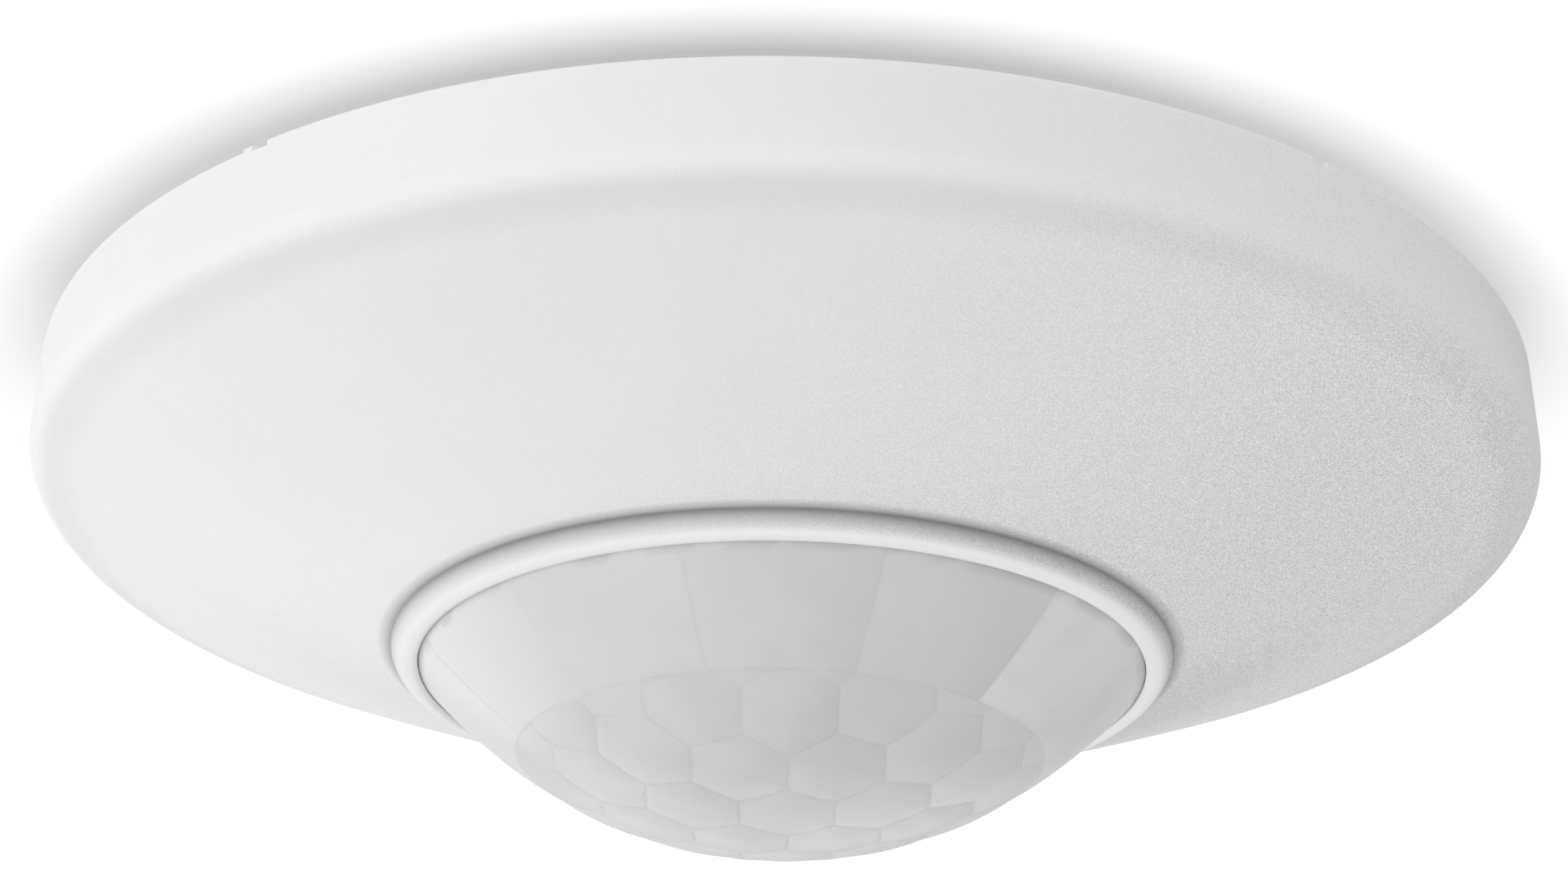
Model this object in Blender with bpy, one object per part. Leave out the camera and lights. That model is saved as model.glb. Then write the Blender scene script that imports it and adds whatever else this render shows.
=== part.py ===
"""A round ceiling motion sensor: a clip-on dome cover with a lens, over a base with its board.

The origin is the centre of the mounting face, on the ceiling. +Z points up into the ceiling, so
every piece hangs at negative z. Sizes are in millimetres until mesh data is made, in metres.
"""

import math

import bmesh
import bpy
from mathutils import Matrix, Vector

MM = 0.001

# Driving dimensions
RIM_RADIUS = 58.0
RIM_TOP_RADIUS = 57.7
RIM_EDGE_Z = -0.4
DOME_START_Z = -8.1
DOME_END_Z = -19.15
DOME_BULGE = 0.16
DOME_END_RADIUS = 30.25
WALL = 2.0
DOME_WALL_Z = 1.7
LENS_RADIUS = 27.7
LENS_EDGE_Z = -20.5
LENS_DEPTH = 12.55
LENS_POWER = 2.28
LENS_WALL = 0.9
BASE_RADIUS = 54.9
FLOOR = 2.4
BOARD_RADIUS = 46.0
BOARD_TOP_Z = -5.2
BOARD_THICK = 1.6

# Clearances
FIT = 0.3
RUNNING = 0.2

# Lens opening: the groove, the lip round the lens and the seat of the lens flange
GROOVE_Z = -18.7
LIP_RADIUS = 29.8
LIP_START_Z = -19.2
LIP_END_Z = -20.8
LIP_CREST_RADIUS = 28.5
OPENING_RADIUS = LENS_RADIUS + FIT
SEAT_Z = -16.6
SEAT_RADIUS = 33.2
FLANGE_RADIUS = 31.0
FLANGE = 0.8

# Retainer of the lens, held by three screws in bosses of the cover
RETAINER_INNER = 27.6
RETAINER_OUTER = 32.4
RETAINER_TOP_Z = -14.0
EAR_ANGLES = (60.0, 180.0, 300.0)
EAR_RADIUS = 36.4
EAR_TOP_Z = -12.4
EAR_THICK = 1.2
EAR_WIDTH = 6.0
BOSS_RADIUS = 2.6
BOSS_ROOT_Z = -15.8
BOSS_HOLE_RADIUS = 1.2
EAR_HOLE_RADIUS = 1.25

# Spring clips on the base hold four catches inside the cover's rim
SNAP_ANGLES = (52.7, 127.3, 232.7, 307.3)
CATCH_RADIUS = 55.3
CATCH_TOP_Z = -3.4
CATCH_LOW_Z = -4.9
CATCH_WIDTH = 7.6
CLIP_WIDTH = 7.0
CLIP_THICK = 0.5
CLIP_FOOT = (47.0, 54.2)
CLIP_NOSE = (55.7, -5.7)
CLIP_END = (54.3, -7.6)
PEG_RADIUS = 1.0
PEG_AT = 49.6
NOTCH_WIDTH = 1.4
NOTCH_DEPTH = 0.55
RELIEF_X = 36.15
RELIEF_DEPTH = 0.4
KEY_ANGLE = 180.0
KEY_WIDTH = 2.0

# Base plate
BASE_WALL = 1.8
BASE_WALL_Z = -6.4
GASKET_GROOVE = (47.5, 51.5)
GASKET_DEPTH = 1.2
CABLE_Y = 36.5
CABLE_RADIUS = 8.0
CABLE_BORE = 3.2
COUNTERBORE_RADIUS = 9.8
PILOT_RADIUS = 1.4
SLOT_CENTRE = 42.6
SLOT_LENGTH = 8.4
SLOT_WIDTH = 5.0
SLOT_STEPS = 7
HUB_RADIUS = 8.0
RECESS_RADIUS = 26.0
RECESS_DEPTH = 1.2
RIB_WIDTH = 1.6
POST_RADIUS = 2.9

# Board
BITE_RADIUS = 7.5
CABLE_NOTCH_Y = 28.0
CABLE_NOTCH_WIDTH = 24.0
BOARD_LOW_Z = BOARD_TOP_Z - BOARD_THICK
PART_Z = BOARD_LOW_Z - FIT
BOARD_SCREW_RADIUS = 41.5
BOARD_SCREW_ANGLES = (60.0, 120.0, 225.0, 315.0)

# Parts on the board
TERMINAL_COUNT = 6
TERMINAL_PITCH = 3.81
TERMINAL_Y = 20.0
TERMINAL_SIZE = (23.6, 7.4, 8.6)
RELAY_SIZE = (7.4, 15.0, 9.4)
RELAY_AT = (-17.5, -2.0)
SPACER_RADIUS = 5.2
SPACER_FOOT = 5.9
SPACER_HEIGHT = 5.0
CAN_RADIUS = 4.1
CAN_FLANGE = 4.6
CAN_HEIGHT = 4.2
LED_AT = (9.5, 7.5)
LED_RADIUS = 1.5
LED_FLANGE = 1.75
LED_HEIGHT = 5.1
TRIMMER_X = 12.6
CONTROLS_Y = -34.0
TRIMMER_SIZE = 6.8
TRIMMER_HEIGHT = 3.8
DIAL_RADIUS = 2.5
DIP_COUNT = 4
DIP_PITCH = 2.54
DIP_SIZE = (11.6, 6.6, 3.4)
SLIDER_TRAVEL = 1.5
SLIDER_LENGTH = 1.3
SLIDER_WIDTH = 1.2
TAMPER_AT = (31.2, 18.0)
TAMPER_SIZE = 6.2
TAMPER_HEIGHT = 4.2
PLUNGER_END_Z = -13.6
PLUNGER_HEAD = 0.8
PLUNGER_RADIUS = 1.3
PLUNGER_HEAD_RADIUS = 2.7
TAMPER_RIB_RADIUS = 2.8
SPRING_RADIUS = 2.1

# How finely round shapes are divided
FINE = 64
MEDIUM = 28
SMALL = 16


def clear_scene():
    """Removes everything that the file holds."""
    for old in list(bpy.data.objects):
        bpy.data.objects.remove(old)


def material(name, colour, roughness, metallic=0.0):
    """A Principled material with a plain colour."""
    made = bpy.data.materials.new(name)
    made.use_nodes = True
    shader = made.node_tree.nodes["Principled BSDF"]
    shader.inputs["Base Color"].default_value = (*colour, 1.0)
    shader.inputs["Roughness"].default_value = roughness
    shader.inputs["Metallic"].default_value = metallic
    made.diffuse_color = (*colour, 1.0)
    return made


def metres(x, y, z):
    """A point given in millimetres, in metres."""
    return Vector((x, y, z)) * MM


def polar(radius, degrees):
    """The x and y of a point at a radius and an angle."""
    turn = math.radians(degrees)
    return radius * math.cos(turn), radius * math.sin(turn)


def turned(degrees):
    """A turn about the z axis."""
    return Matrix.Rotation(math.radians(degrees), 4, "Z")


def dome_z(radius):
    """Height of the cover's outer dome at a radius: a cone with a slight bulge."""
    share = (RIM_RADIUS - radius) / (RIM_RADIUS - DOME_END_RADIUS)
    straight = DOME_START_Z + (DOME_END_Z - DOME_START_Z) * share
    return straight - 4 * DOME_BULGE * share * (1 - share)


def dome_points(first, last, count, lift=0.0):
    """Corners along the dome between two radii, raised by lift."""
    radii = [first + (last - first) * i / (count - 1) for i in range(count)]
    return [(r, dome_z(r) + lift, 0.0) for r in radii]


def lens_z(radius, wall=0.0):
    """Height of the lens surface at a radius; wall moves it towards the ceiling."""
    share = min(radius / LENS_RADIUS, 1.0)
    return LENS_EDGE_Z + wall - LENS_DEPTH * (1 - share**LENS_POWER)


def rounded(corners, step=28.0):
    """Points of a closed outline of (r, z, fillet) corners, each fillet drawn as an arc."""
    points = []
    for i, (r, z, fillet) in enumerate(corners):
        here = Vector((r, z))
        to_last = Vector(corners[i - 1][:2]) - here
        to_next = Vector(corners[(i + 1) % len(corners)][:2]) - here
        if fillet <= 0:
            points.append((r, z))
            continue
        to_last.normalize()
        to_next.normalize()
        half = to_last.angle(to_next) / 2
        reach = fillet / math.tan(half)
        centre = here + (to_last + to_next).normalized() * (fillet / math.sin(half))
        start = here + to_last * reach - centre
        sweep = start.angle_signed(here + to_next * reach - centre)
        count = max(1, round(abs(math.degrees(sweep)) / step))
        for k in range(count + 1):
            spoke = start.copy()
            spoke.rotate(Matrix.Rotation(-sweep * k / count, 2))
            points.append(tuple(centre + spoke))
    return points


def finish(bm):
    """Merges coinciding points and turns every face outwards."""
    bmesh.ops.remove_doubles(bm, verts=bm.verts, dist=1e-7)
    bmesh.ops.dissolve_degenerate(bm, edges=bm.edges, dist=1e-7)
    bmesh.ops.recalc_face_normals(bm, faces=bm.faces)
    return bm


def lathe(outline, segments, centre=(0.0, 0.0)):
    """A closed (r, z) outline spun round a vertical axis through centre."""
    bm = bmesh.new()
    ring = [bm.verts.new(metres(centre[0] + r, centre[1], z)) for r, z in outline]
    edges = []
    for i, (r, _) in enumerate(outline):
        if r > 0 or outline[i - 1][0] > 0:
            edges.append(bm.edges.new((ring[i - 1], ring[i])))
    bmesh.ops.spin(
        bm,
        geom=ring + edges,
        cent=metres(*centre, 0),
        axis=(0, 0, 1),
        angle=math.tau,
        steps=segments,
        use_merge=True,
    )
    return finish(bm)


def box(size, centre, turn=0.0):
    """A block of a size; turn is its angle about its own upright axis."""
    bm = bmesh.new()
    scale = Matrix.Diagonal((*(metres(*size)), 1.0))
    place = Matrix.Translation(metres(*centre)) @ turned(turn) @ scale
    bmesh.ops.create_cube(bm, size=1.0, matrix=place)
    return bm


def slab(width, depth, top, low, at, turn=0.0):
    """A block between two heights."""
    size = (width, depth, top - low)
    return box(size, (at[0], at[1], (top + low) / 2), turn)


def rod(radius, top, low, at=(0.0, 0.0), segments=SMALL, low_radius=None):
    """An upright cylinder or cone between two heights."""
    bm = bmesh.new()
    bmesh.ops.create_cone(
        bm,
        cap_ends=True,
        segments=segments,
        radius1=(radius if low_radius is None else low_radius) * MM,
        radius2=radius * MM,
        depth=(top - low) * MM,
        matrix=Matrix.Translation(metres(*at, (top + low) / 2)),
    )
    return bm


def extruded(points, top, low):
    """A flat outline of (x, y) points pulled down from one height to another."""
    bm = bmesh.new()
    face = bm.faces.new([bm.verts.new(metres(x, y, top)) for x, y in points])
    pulled = bmesh.ops.extrude_face_region(bm, geom=[face])
    moved = [item for item in pulled["geom"] if isinstance(item, bmesh.types.BMVert)]
    bmesh.ops.translate(bm, verts=moved, vec=metres(0, 0, low - top))
    return finish(bm)


def radial_prism(section, width, degrees):
    """A (r, z) section made width wide along the rim, at an angle round the z axis."""
    bm = bmesh.new()
    face = bm.faces.new([bm.verts.new(metres(r, -width / 2, z)) for r, z in section])
    pulled = bmesh.ops.extrude_face_region(bm, geom=[face])
    moved = [item for item in pulled["geom"] if isinstance(item, bmesh.types.BMVert)]
    bmesh.ops.translate(bm, verts=moved, vec=metres(0, width, 0))
    bmesh.ops.transform(bm, matrix=turned(degrees), verts=bm.verts)
    return finish(bm)


def slot_points(length, width, at):
    """Outline of a round-ended slot that runs along x."""
    straight = (length - width) / 2
    points = []
    for side in (1, -1):
        for k in range(SLOT_STEPS + 1):
            x, y = polar(width / 2, -90 * side + 180 * k / SLOT_STEPS)
            points.append((at[0] + side * straight + x, at[1] + y))
    return points


def add(name, bm, look, smooth=40.0):
    """Makes the object called name from mesh data, shaded smooth up to an angle."""
    mesh = bpy.data.meshes.new(name)
    bm.to_mesh(mesh)
    bm.free()
    mesh.materials.append(look)
    mesh.shade_smooth()
    mesh.set_sharp_from_angle(angle=math.radians(smooth))
    made = bpy.data.objects.new(name, mesh)
    bpy.context.scene.collection.objects.link(made)
    return made


def helper(name, shapes):
    """One unseen object that holds several separate shapes, for a Boolean."""
    whole = bmesh.new()
    for shape in shapes:
        loose = bpy.data.meshes.new(name)
        shape.to_mesh(loose)
        shape.free()
        whole.from_mesh(loose)
        bpy.data.meshes.remove(loose)
    mesh = bpy.data.meshes.new(name)
    whole.to_mesh(mesh)
    whole.free()
    made = bpy.data.objects.new(name, mesh)
    made.hide_render = True
    made.display_type = "WIRE"
    bpy.context.scene.collection.objects.link(made)
    return made


def combine(target, operation, label, shapes):
    """Cuts shapes from the target, or joins them to it."""
    change = target.modifiers.new(label, "BOOLEAN")
    change.operation = operation
    change.solver = "EXACT"
    change.object = helper(f"{target.name}_{label}", shapes)


def cut(target, label, shapes):
    combine(target, "DIFFERENCE", label, shapes)


def join(target, label, shapes):
    combine(target, "UNION", label, shapes)


def edge_bevel(target, width, angle=50.0):
    """Breaks the sharp edges of a moulded piece."""
    change = target.modifiers.new("edge", "BEVEL")
    change.width = width * MM
    change.segments = 1
    change.limit_method = "ANGLE"
    change.angle_limit = math.radians(angle)


def move_origin(target, x, y, z):
    """Puts the object's origin on a point, without moving its shape."""
    point = metres(x, y, z)
    target.data.transform(Matrix.Translation(-point))
    target.location = point


def pan_screw(name, at, head, shank, look, points_up=False):
    """A pan head screw with a cross recess: head is (radius, near z, far z), shank (radius, tip z)."""
    head_radius, near, far = head
    shank_radius, tip = shank
    crown = 0.45 * (far - near)
    outline = [
        (0, tip),
        (shank_radius, tip),
        (shank_radius, near),
        (head_radius, near),
        (head_radius, far - crown),
        (head_radius * 0.72, far),
        (0, far),
    ]
    screw = add(name, lathe(outline, 12, at), look)
    depth = 0.55 * abs(far - near)
    arm = 1.15 * head_radius
    if points_up:
        top = far + 1.0
        low = far - depth
    else:
        top = far + depth
        low = far - 1.0
    bars = [slab(arm, 0.3 * arm, top, low, at), slab(0.3 * arm, arm, top, low, at)]
    cut_cross(screw, bars)


def cut_cross(screw, bars):
    """Cuts two crossing bars one after the other, since they overlap."""
    cut(screw, "bar_a", bars[:1])
    cut(screw, "bar_b", bars[1:])


# ---------------------------------------------------------------- cover


def lip_corners(count=5):
    """The lip's outer curve, a quarter ellipse from its side to its crest."""
    wide = LIP_RADIUS - LIP_CREST_RADIUS
    tall = LIP_START_Z - LIP_END_Z
    corners = []
    for k in range(count):
        turn = math.pi / 2 * k / (count - 1)
        r = LIP_CREST_RADIUS + wide * math.cos(turn)
        corners.append((r, LIP_START_Z - tall * math.sin(turn), 0.0))
    return corners


def cover_outline():
    inner_wall = RIM_RADIUS - WALL
    outer = [(inner_wall, RIM_EDGE_Z, 0.0), (RIM_TOP_RADIUS, RIM_EDGE_Z, 0.3)]
    outer += [(RIM_RADIUS, DOME_START_Z, 2.0)]
    outer += dome_points(50.0, 37.0, 3)
    outer += [(DOME_END_RADIUS, DOME_END_Z, 0.35)]
    groove = [(DOME_END_RADIUS - 0.1, GROOVE_Z, 0.0), (LIP_RADIUS, GROOVE_Z, 0.0)]
    opening = [(OPENING_RADIUS, LIP_END_Z + 0.15, 0.0), (OPENING_RADIUS, SEAT_Z, 0.0)]
    inner = [(SEAT_RADIUS, SEAT_Z, 0.0)]
    inner += dome_points(36.0, 50.0, 3, DOME_WALL_Z)
    inner += [(inner_wall, dome_z(inner_wall) + DOME_WALL_Z, 0.0)]
    return rounded(outer + groove + lip_corners() + opening + inner)


def make_front_cover(look):
    cover = add("front_cover", lathe(cover_outline(), FINE), look)
    catch = [
        (CATCH_RADIUS, CATCH_TOP_Z - 0.4),
        (CATCH_RADIUS, CATCH_LOW_Z),
        (RIM_RADIUS - 0.8, CATCH_LOW_Z),
        (RIM_RADIUS - 0.8, CATCH_TOP_Z),
    ]
    inside = [radial_prism(catch, CATCH_WIDTH, angle) for angle in SNAP_ANGLES]
    key_top = -FLOOR - 2 * FIT
    key = [(54.0, key_top), (54.0, -5.0), (RIM_RADIUS - 0.8, -5.0), (RIM_RADIUS - 0.8, key_top)]
    inside.append(radial_prism(key, KEY_WIDTH, KEY_ANGLE))
    boss_top = EAR_TOP_Z - EAR_THICK - FIT
    for angle in EAR_ANGLES:
        inside.append(rod(BOSS_RADIUS, boss_top, BOSS_ROOT_Z, polar(EAR_RADIUS, angle)))
    inside.append(rod(TAMPER_RIB_RADIUS, PLUNGER_END_Z - FIT, BOSS_ROOT_Z, TAMPER_AT))
    join(cover, "inside", inside)
    openings = [
        rod(BOSS_HOLE_RADIUS, boss_top + 1, -15.3, polar(EAR_RADIUS, angle), 12)
        for angle in EAR_ANGLES
    ]
    notch_low = RIM_EDGE_Z - NOTCH_DEPTH
    notch = [(55.0, 1.0), (59.0, 1.0), (59.0, notch_low), (55.0, notch_low)]
    openings += [radial_prism(notch, NOTCH_WIDTH, angle) for angle in SNAP_ANGLES]
    cut(cover, "openings", openings)
    relief_low = RIM_EDGE_Z - RELIEF_DEPTH
    relief_width = RIM_RADIUS + 2 - RELIEF_X
    reliefs = [
        slab(relief_width, 120.0, 1.0, relief_low, (side * (RELIEF_X + relief_width / 2), 0))
        for side in (-1, 1)
    ]
    cut(cover, "reliefs", reliefs)


def make_lens(look):
    flange_low = SEAT_Z + FIT
    steps = 7
    radii = [LENS_RADIUS * k / steps for k in range(steps + 1)]
    inner_radius = LENS_RADIUS - LENS_WALL
    outline = [(LENS_RADIUS, flange_low), (FLANGE_RADIUS, flange_low)]
    outline += [(FLANGE_RADIUS, flange_low + FLANGE)]
    outline += [(inner_radius, flange_low + FLANGE)]
    outline += [(r, lens_z(r, LENS_WALL)) for r in reversed(radii) if r < inner_radius]
    outline += [(r, lens_z(r)) for r in radii]
    add("fresnel_lens", lathe(outline, 48), look)


def make_retainer(look):
    low = SEAT_Z + FIT + FLANGE + FIT
    outline = [
        (RETAINER_INNER, low, 0.0),
        (RETAINER_OUTER, low, 0.0),
        (RETAINER_OUTER, RETAINER_TOP_Z, 0.4),
        (RETAINER_INNER, RETAINER_TOP_Z, 0.4),
    ]
    ring = add("lens_retainer", lathe(rounded(outline, 90.0), 48), look)
    inner = RETAINER_OUTER - 1.4
    outer = EAR_RADIUS + 3.0
    web = RETAINER_OUTER - 0.1
    ear = [
        (inner, RETAINER_TOP_Z - 0.6),
        (web, RETAINER_TOP_Z - 0.6),
        (web, EAR_TOP_Z - EAR_THICK),
        (outer, EAR_TOP_Z - EAR_THICK),
        (outer, EAR_TOP_Z),
        (inner, EAR_TOP_Z),
    ]
    join(ring, "ears", [radial_prism(ear, EAR_WIDTH, angle) for angle in EAR_ANGLES])
    holes = [
        rod(EAR_HOLE_RADIUS, EAR_TOP_Z + 1, EAR_TOP_Z - EAR_THICK - 0.5, polar(EAR_RADIUS, angle), 12)
        for angle in EAR_ANGLES
    ]
    cut(ring, "holes", holes)


def make_retainer_screws(look):
    for number, angle in enumerate(EAR_ANGLES, 1):
        head = (1.9, EAR_TOP_Z + 0.1, EAR_TOP_Z + 1.3)
        shank = (0.95, -15.2)
        at = polar(EAR_RADIUS, angle)
        pan_screw(f"retainer_screw_{number}", at, head, shank, look, points_up=True)


# ---------------------------------------------------------------- base


def base_outline():
    groove_in, groove_out = GASKET_GROOVE
    inner_wall = BASE_RADIUS - BASE_WALL
    return [
        (0, 0),
        (groove_in, 0),
        (groove_in, -GASKET_DEPTH),
        (groove_out, -GASKET_DEPTH),
        (groove_out, 0),
        (BASE_RADIUS - 0.3, 0),
        (BASE_RADIUS, -0.3),
        (BASE_RADIUS, BASE_WALL_Z + 0.2),
        (BASE_RADIUS - 0.2, BASE_WALL_Z),
        (inner_wall, BASE_WALL_Z),
        (inner_wall, -FLOOR),
        (0, -FLOOR),
    ]


def recess_sectors():
    """Six hollows in the back face, with ribs left between them."""
    sectors = []
    for k in range(6):
        middle = 30 + 60 * k
        inner_half = math.degrees(RIB_WIDTH / 2 / HUB_RADIUS)
        outer_half = math.degrees(RIB_WIDTH / 2 / RECESS_RADIUS)
        steps = 5
        outer = [
            polar(RECESS_RADIUS, middle - 30 + outer_half + (60 - 2 * outer_half) * i / steps)
            for i in range(steps + 1)
        ]
        inner = [
            polar(HUB_RADIUS, middle + 30 - inner_half - (60 - 2 * inner_half) * i / 2)
            for i in range(3)
        ]
        sectors.append(extruded(outer + inner, 1.0, -RECESS_DEPTH))
    return sectors


def make_base_plate(look):
    base = add("base_plate", lathe(base_outline(), FINE), look)
    post_low = BOARD_TOP_Z + FIT
    extras = []
    for angle in BOARD_SCREW_ANGLES:
        at = polar(BOARD_SCREW_RADIUS, angle)
        extras.append(rod(POST_RADIUS, -FLOOR + 0.5, post_low, at))
    for angle in SNAP_ANGLES:
        at = polar(PEG_AT, angle)
        extras.append(rod(PEG_RADIUS, -FLOOR + 0.5, -FLOOR - 1.9, at, 12, 0.7 * PEG_RADIUS))
    join(base, "extras", extras)

    cuts = recess_sectors()
    cuts.append(rod(CABLE_RADIUS, 1.0, -FLOOR - 1, (0, CABLE_Y), MEDIUM))
    for side in (-1, 1):
        points = slot_points(SLOT_LENGTH, SLOT_WIDTH, (side * SLOT_CENTRE, 0))
        cuts.append(extruded(points, 1.0, -FLOOR - 1))
    for angle in BOARD_SCREW_ANGLES:
        at = polar(BOARD_SCREW_RADIUS, angle)
        cuts.append(rod(PILOT_RADIUS, -1.4, post_low - 1, at, 12))
    cut(base, "openings", cuts)

    reliefs = [rod(COUNTERBORE_RADIUS, 1.0, -GASKET_DEPTH, (0, CABLE_Y), MEDIUM)]
    window = [(52.5, -FLOOR + 0.1), (57.0, -FLOOR + 0.1), (57.0, -9.0), (52.5, -9.0)]
    for angle in SNAP_ANGLES:
        reliefs.append(radial_prism(window, CLIP_WIDTH + 4 * FIT, angle))
    reliefs.append(radial_prism(window, KEY_WIDTH + 2 * FIT, KEY_ANGLE))
    cut(base, "reliefs", reliefs)


def make_cover_clips(look):
    """Steel strips staked to the base. Each nose springs in as a catch of the cover passes it."""
    top = -FLOOR - FIT
    heel, knee = CLIP_FOOT
    nose_r, nose_z = CLIP_NOSE
    end_r, end_z = CLIP_END
    inner_knee = knee - CLIP_THICK
    section = [
        (heel, top),
        (knee, top),
        (knee, -4.5),
        (nose_r, nose_z + 0.2),
        (nose_r, nose_z - 0.2),
        (end_r, end_z),
        (end_r - CLIP_THICK, end_z + 0.3),
        (nose_r - 1.2 * CLIP_THICK, nose_z),
        (inner_knee, -4.8),
        (inner_knee, top - CLIP_THICK),
        (heel, top - CLIP_THICK),
    ]
    for number, angle in enumerate(SNAP_ANGLES, 1):
        clip = add(f"cover_clip_{number}", radial_prism(section, CLIP_WIDTH, angle), look)
        cut(clip, "hole", [rod(PEG_RADIUS + FIT, top + 1, top - 2, polar(PEG_AT, angle), 12)])


def make_gasket(look):
    inner, outer = GASKET_GROOVE
    outline = [
        (inner + FIT, -0.05),
        (outer - FIT, -0.05),
        (outer - FIT, FIT - GASKET_DEPTH),
        (inner + FIT, FIT - GASKET_DEPTH),
    ]
    add("ceiling_gasket", lathe(outline, 48), look)


def make_grommet(look):
    """A rubber grommet with a thin collar round the cable."""
    neck = CABLE_RADIUS - RUNNING
    flange = COUNTERBORE_RADIUS - FIT
    back = -0.1
    back_low = FIT - GASKET_DEPTH
    front = -FLOOR - FIT
    outline = [
        (CABLE_BORE, -1.5),
        (6.2, -1.5),
        (6.2, back),
        (flange, back),
        (flange, back_low),
        (neck, back_low),
        (neck, front),
        (flange - 0.6, front),
        (flange - 0.9, front - 0.9),
        (6.0, front - 1.1),
        (5.0, -2.1),
        (CABLE_BORE, -2.1),
    ]
    add("cable_grommet", lathe(outline, MEDIUM, (0, CABLE_Y)), look)


# ---------------------------------------------------------------- board


def make_board(look):
    board = add(
        "circuit_board", rod(BOARD_RADIUS, BOARD_TOP_Z, BOARD_LOW_Z, segments=FINE), look
    )
    above = BOARD_TOP_Z + 1
    below = BOARD_LOW_Z - 1
    notch_depth = BOARD_RADIUS - CABLE_NOTCH_Y + 1
    notch_at = (0, CABLE_NOTCH_Y + notch_depth / 2)
    cuts = [slab(CABLE_NOTCH_WIDTH, notch_depth, above, below, notch_at)]
    for side in (-1, 1):
        cuts.append(rod(BITE_RADIUS, above, below, (side * (SLOT_CENTRE + 0.4), 0), MEDIUM))
    for angle in BOARD_SCREW_ANGLES:
        cuts.append(rod(1.5, above, below, polar(BOARD_SCREW_RADIUS, angle), 12))
    cut(board, "openings", cuts)


def make_board_screws(look):
    for number, angle in enumerate(BOARD_SCREW_ANGLES, 1):
        head = (2.4, BOARD_LOW_Z - 0.1, BOARD_LOW_Z - 1.7)
        shank = (1.2, -1.7)
        pan_screw(f"board_screw_{number}", polar(BOARD_SCREW_RADIUS, angle), head, shank, look)


def make_pyro(spacer_look, can_look, window_look):
    """The infrared detector: a spacer, a metal can and its filter window."""
    spacer_low = PART_Z - SPACER_HEIGHT
    spacer = [
        (0, PART_Z, 0.0),
        (SPACER_FOOT, PART_Z, 0.0),
        (SPACER_FOOT, PART_Z - 1.2, 0.0),
        (SPACER_RADIUS, PART_Z - 1.6, 0.0),
        (SPACER_RADIUS, spacer_low, 0.4),
        (0, spacer_low, 0.0),
    ]
    add("pyro_spacer", lathe(rounded(spacer, 90.0), 24), spacer_look)
    can_top = spacer_low - FIT
    can_low = can_top - CAN_HEIGHT
    can = [
        (0, can_top, 0.0),
        (CAN_FLANGE, can_top, 0.0),
        (CAN_FLANGE, can_top - 0.6, 0.2),
        (CAN_RADIUS, can_top - 0.6, 0.0),
        (CAN_RADIUS, can_low, 0.5),
        (0, can_low, 0.0),
    ]
    sensor = add("pyro_sensor", lathe(rounded(can, 90.0), 24), can_look)
    cut(sensor, "aperture", [slab(4.2, 3.2, can_low + 0.5, can_low - 1, (0, 0))])
    pane = slab(4.0, 3.0, can_low + 0.4, can_low + 0.08, (0, 0))
    add("pyro_window", pane, window_look)


def make_terminal_block(body_look, screw_look):
    width, depth, height = TERMINAL_SIZE
    low = PART_Z - height
    front = TERMINAL_Y + depth / 2
    block = add(
        "terminal_block", slab(width, depth, PART_Z, low, (0, TERMINAL_Y)), body_look
    )
    slope = [
        (front - 1.6, low - 1),
        (front + 1, low - 1),
        (front + 1, low + 2.6),
        (front, low + 1.8),
    ]
    chamfer = radial_prism(slope, width + 2, 90)
    cuts = []
    for k in range(TERMINAL_COUNT):
        x = TERMINAL_PITCH * (k - (TERMINAL_COUNT - 1) / 2)
        cuts.append(rod(1.5, low + 3.3, low - 1, (x, TERMINAL_Y - 0.8), 16))
        cuts.append(box((2.6, 4.4, 2.8), (x, front - 1.2, PART_Z - 3.6)))
        head_low = low + 0.9
        screw = add(
            f"terminal_screw_{k + 1}",
            rod(1.2, head_low + 2.1, head_low, (x, TERMINAL_Y - 0.8), 16),
            screw_look,
        )
        cut(screw, "slot", [slab(3.0, 0.45, head_low + 0.6, low - 1, (x, TERMINAL_Y - 0.8), 25)])
    cut(block, "chamfer", [chamfer])
    cut(block, "openings", cuts)


def make_relay(look):
    width, length, height = RELAY_SIZE
    relay = add(
        "alarm_relay", slab(width, length, PART_Z - 0.2, PART_Z - height, RELAY_AT), look
    )
    edge_bevel(relay, 0.5)


def make_capacitor(name, at, radius, height, look):
    """An aluminium can with a rolled groove near its board end."""
    top = PART_Z
    low = top - height
    outline = [
        (0, top, 0.0),
        (radius, top, 0.3),
        (radius, top - 1.0, 0.0),
        (radius - 0.35, top - 1.4, 0.0),
        (radius, top - 1.8, 0.0),
        (radius, low, 0.4),
        (0, low, 0.0),
    ]
    add(name, lathe(rounded(outline, 90.0), 20, at), look)


def make_chip(name, at, size, look):
    width, depth, height = size
    chip = add(name, slab(width, depth, PART_Z + 0.1, PART_Z - height, at), look)
    edge_bevel(chip, 0.15)


def make_led(look):
    low = PART_Z - LED_HEIGHT
    rim_low = PART_Z - 0.9
    outline = [(0, PART_Z), (LED_FLANGE, PART_Z), (LED_FLANGE, rim_low), (LED_RADIUS, rim_low)]
    for k in range(4):
        x, y = polar(LED_RADIUS, 90 * k / 4)
        outline.append((x, low + LED_RADIUS - y))
    outline.append((0, low))
    add("walk_test_led", lathe(outline, SMALL, LED_AT), look)


# ---------------------------------------------------------------- controls


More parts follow.
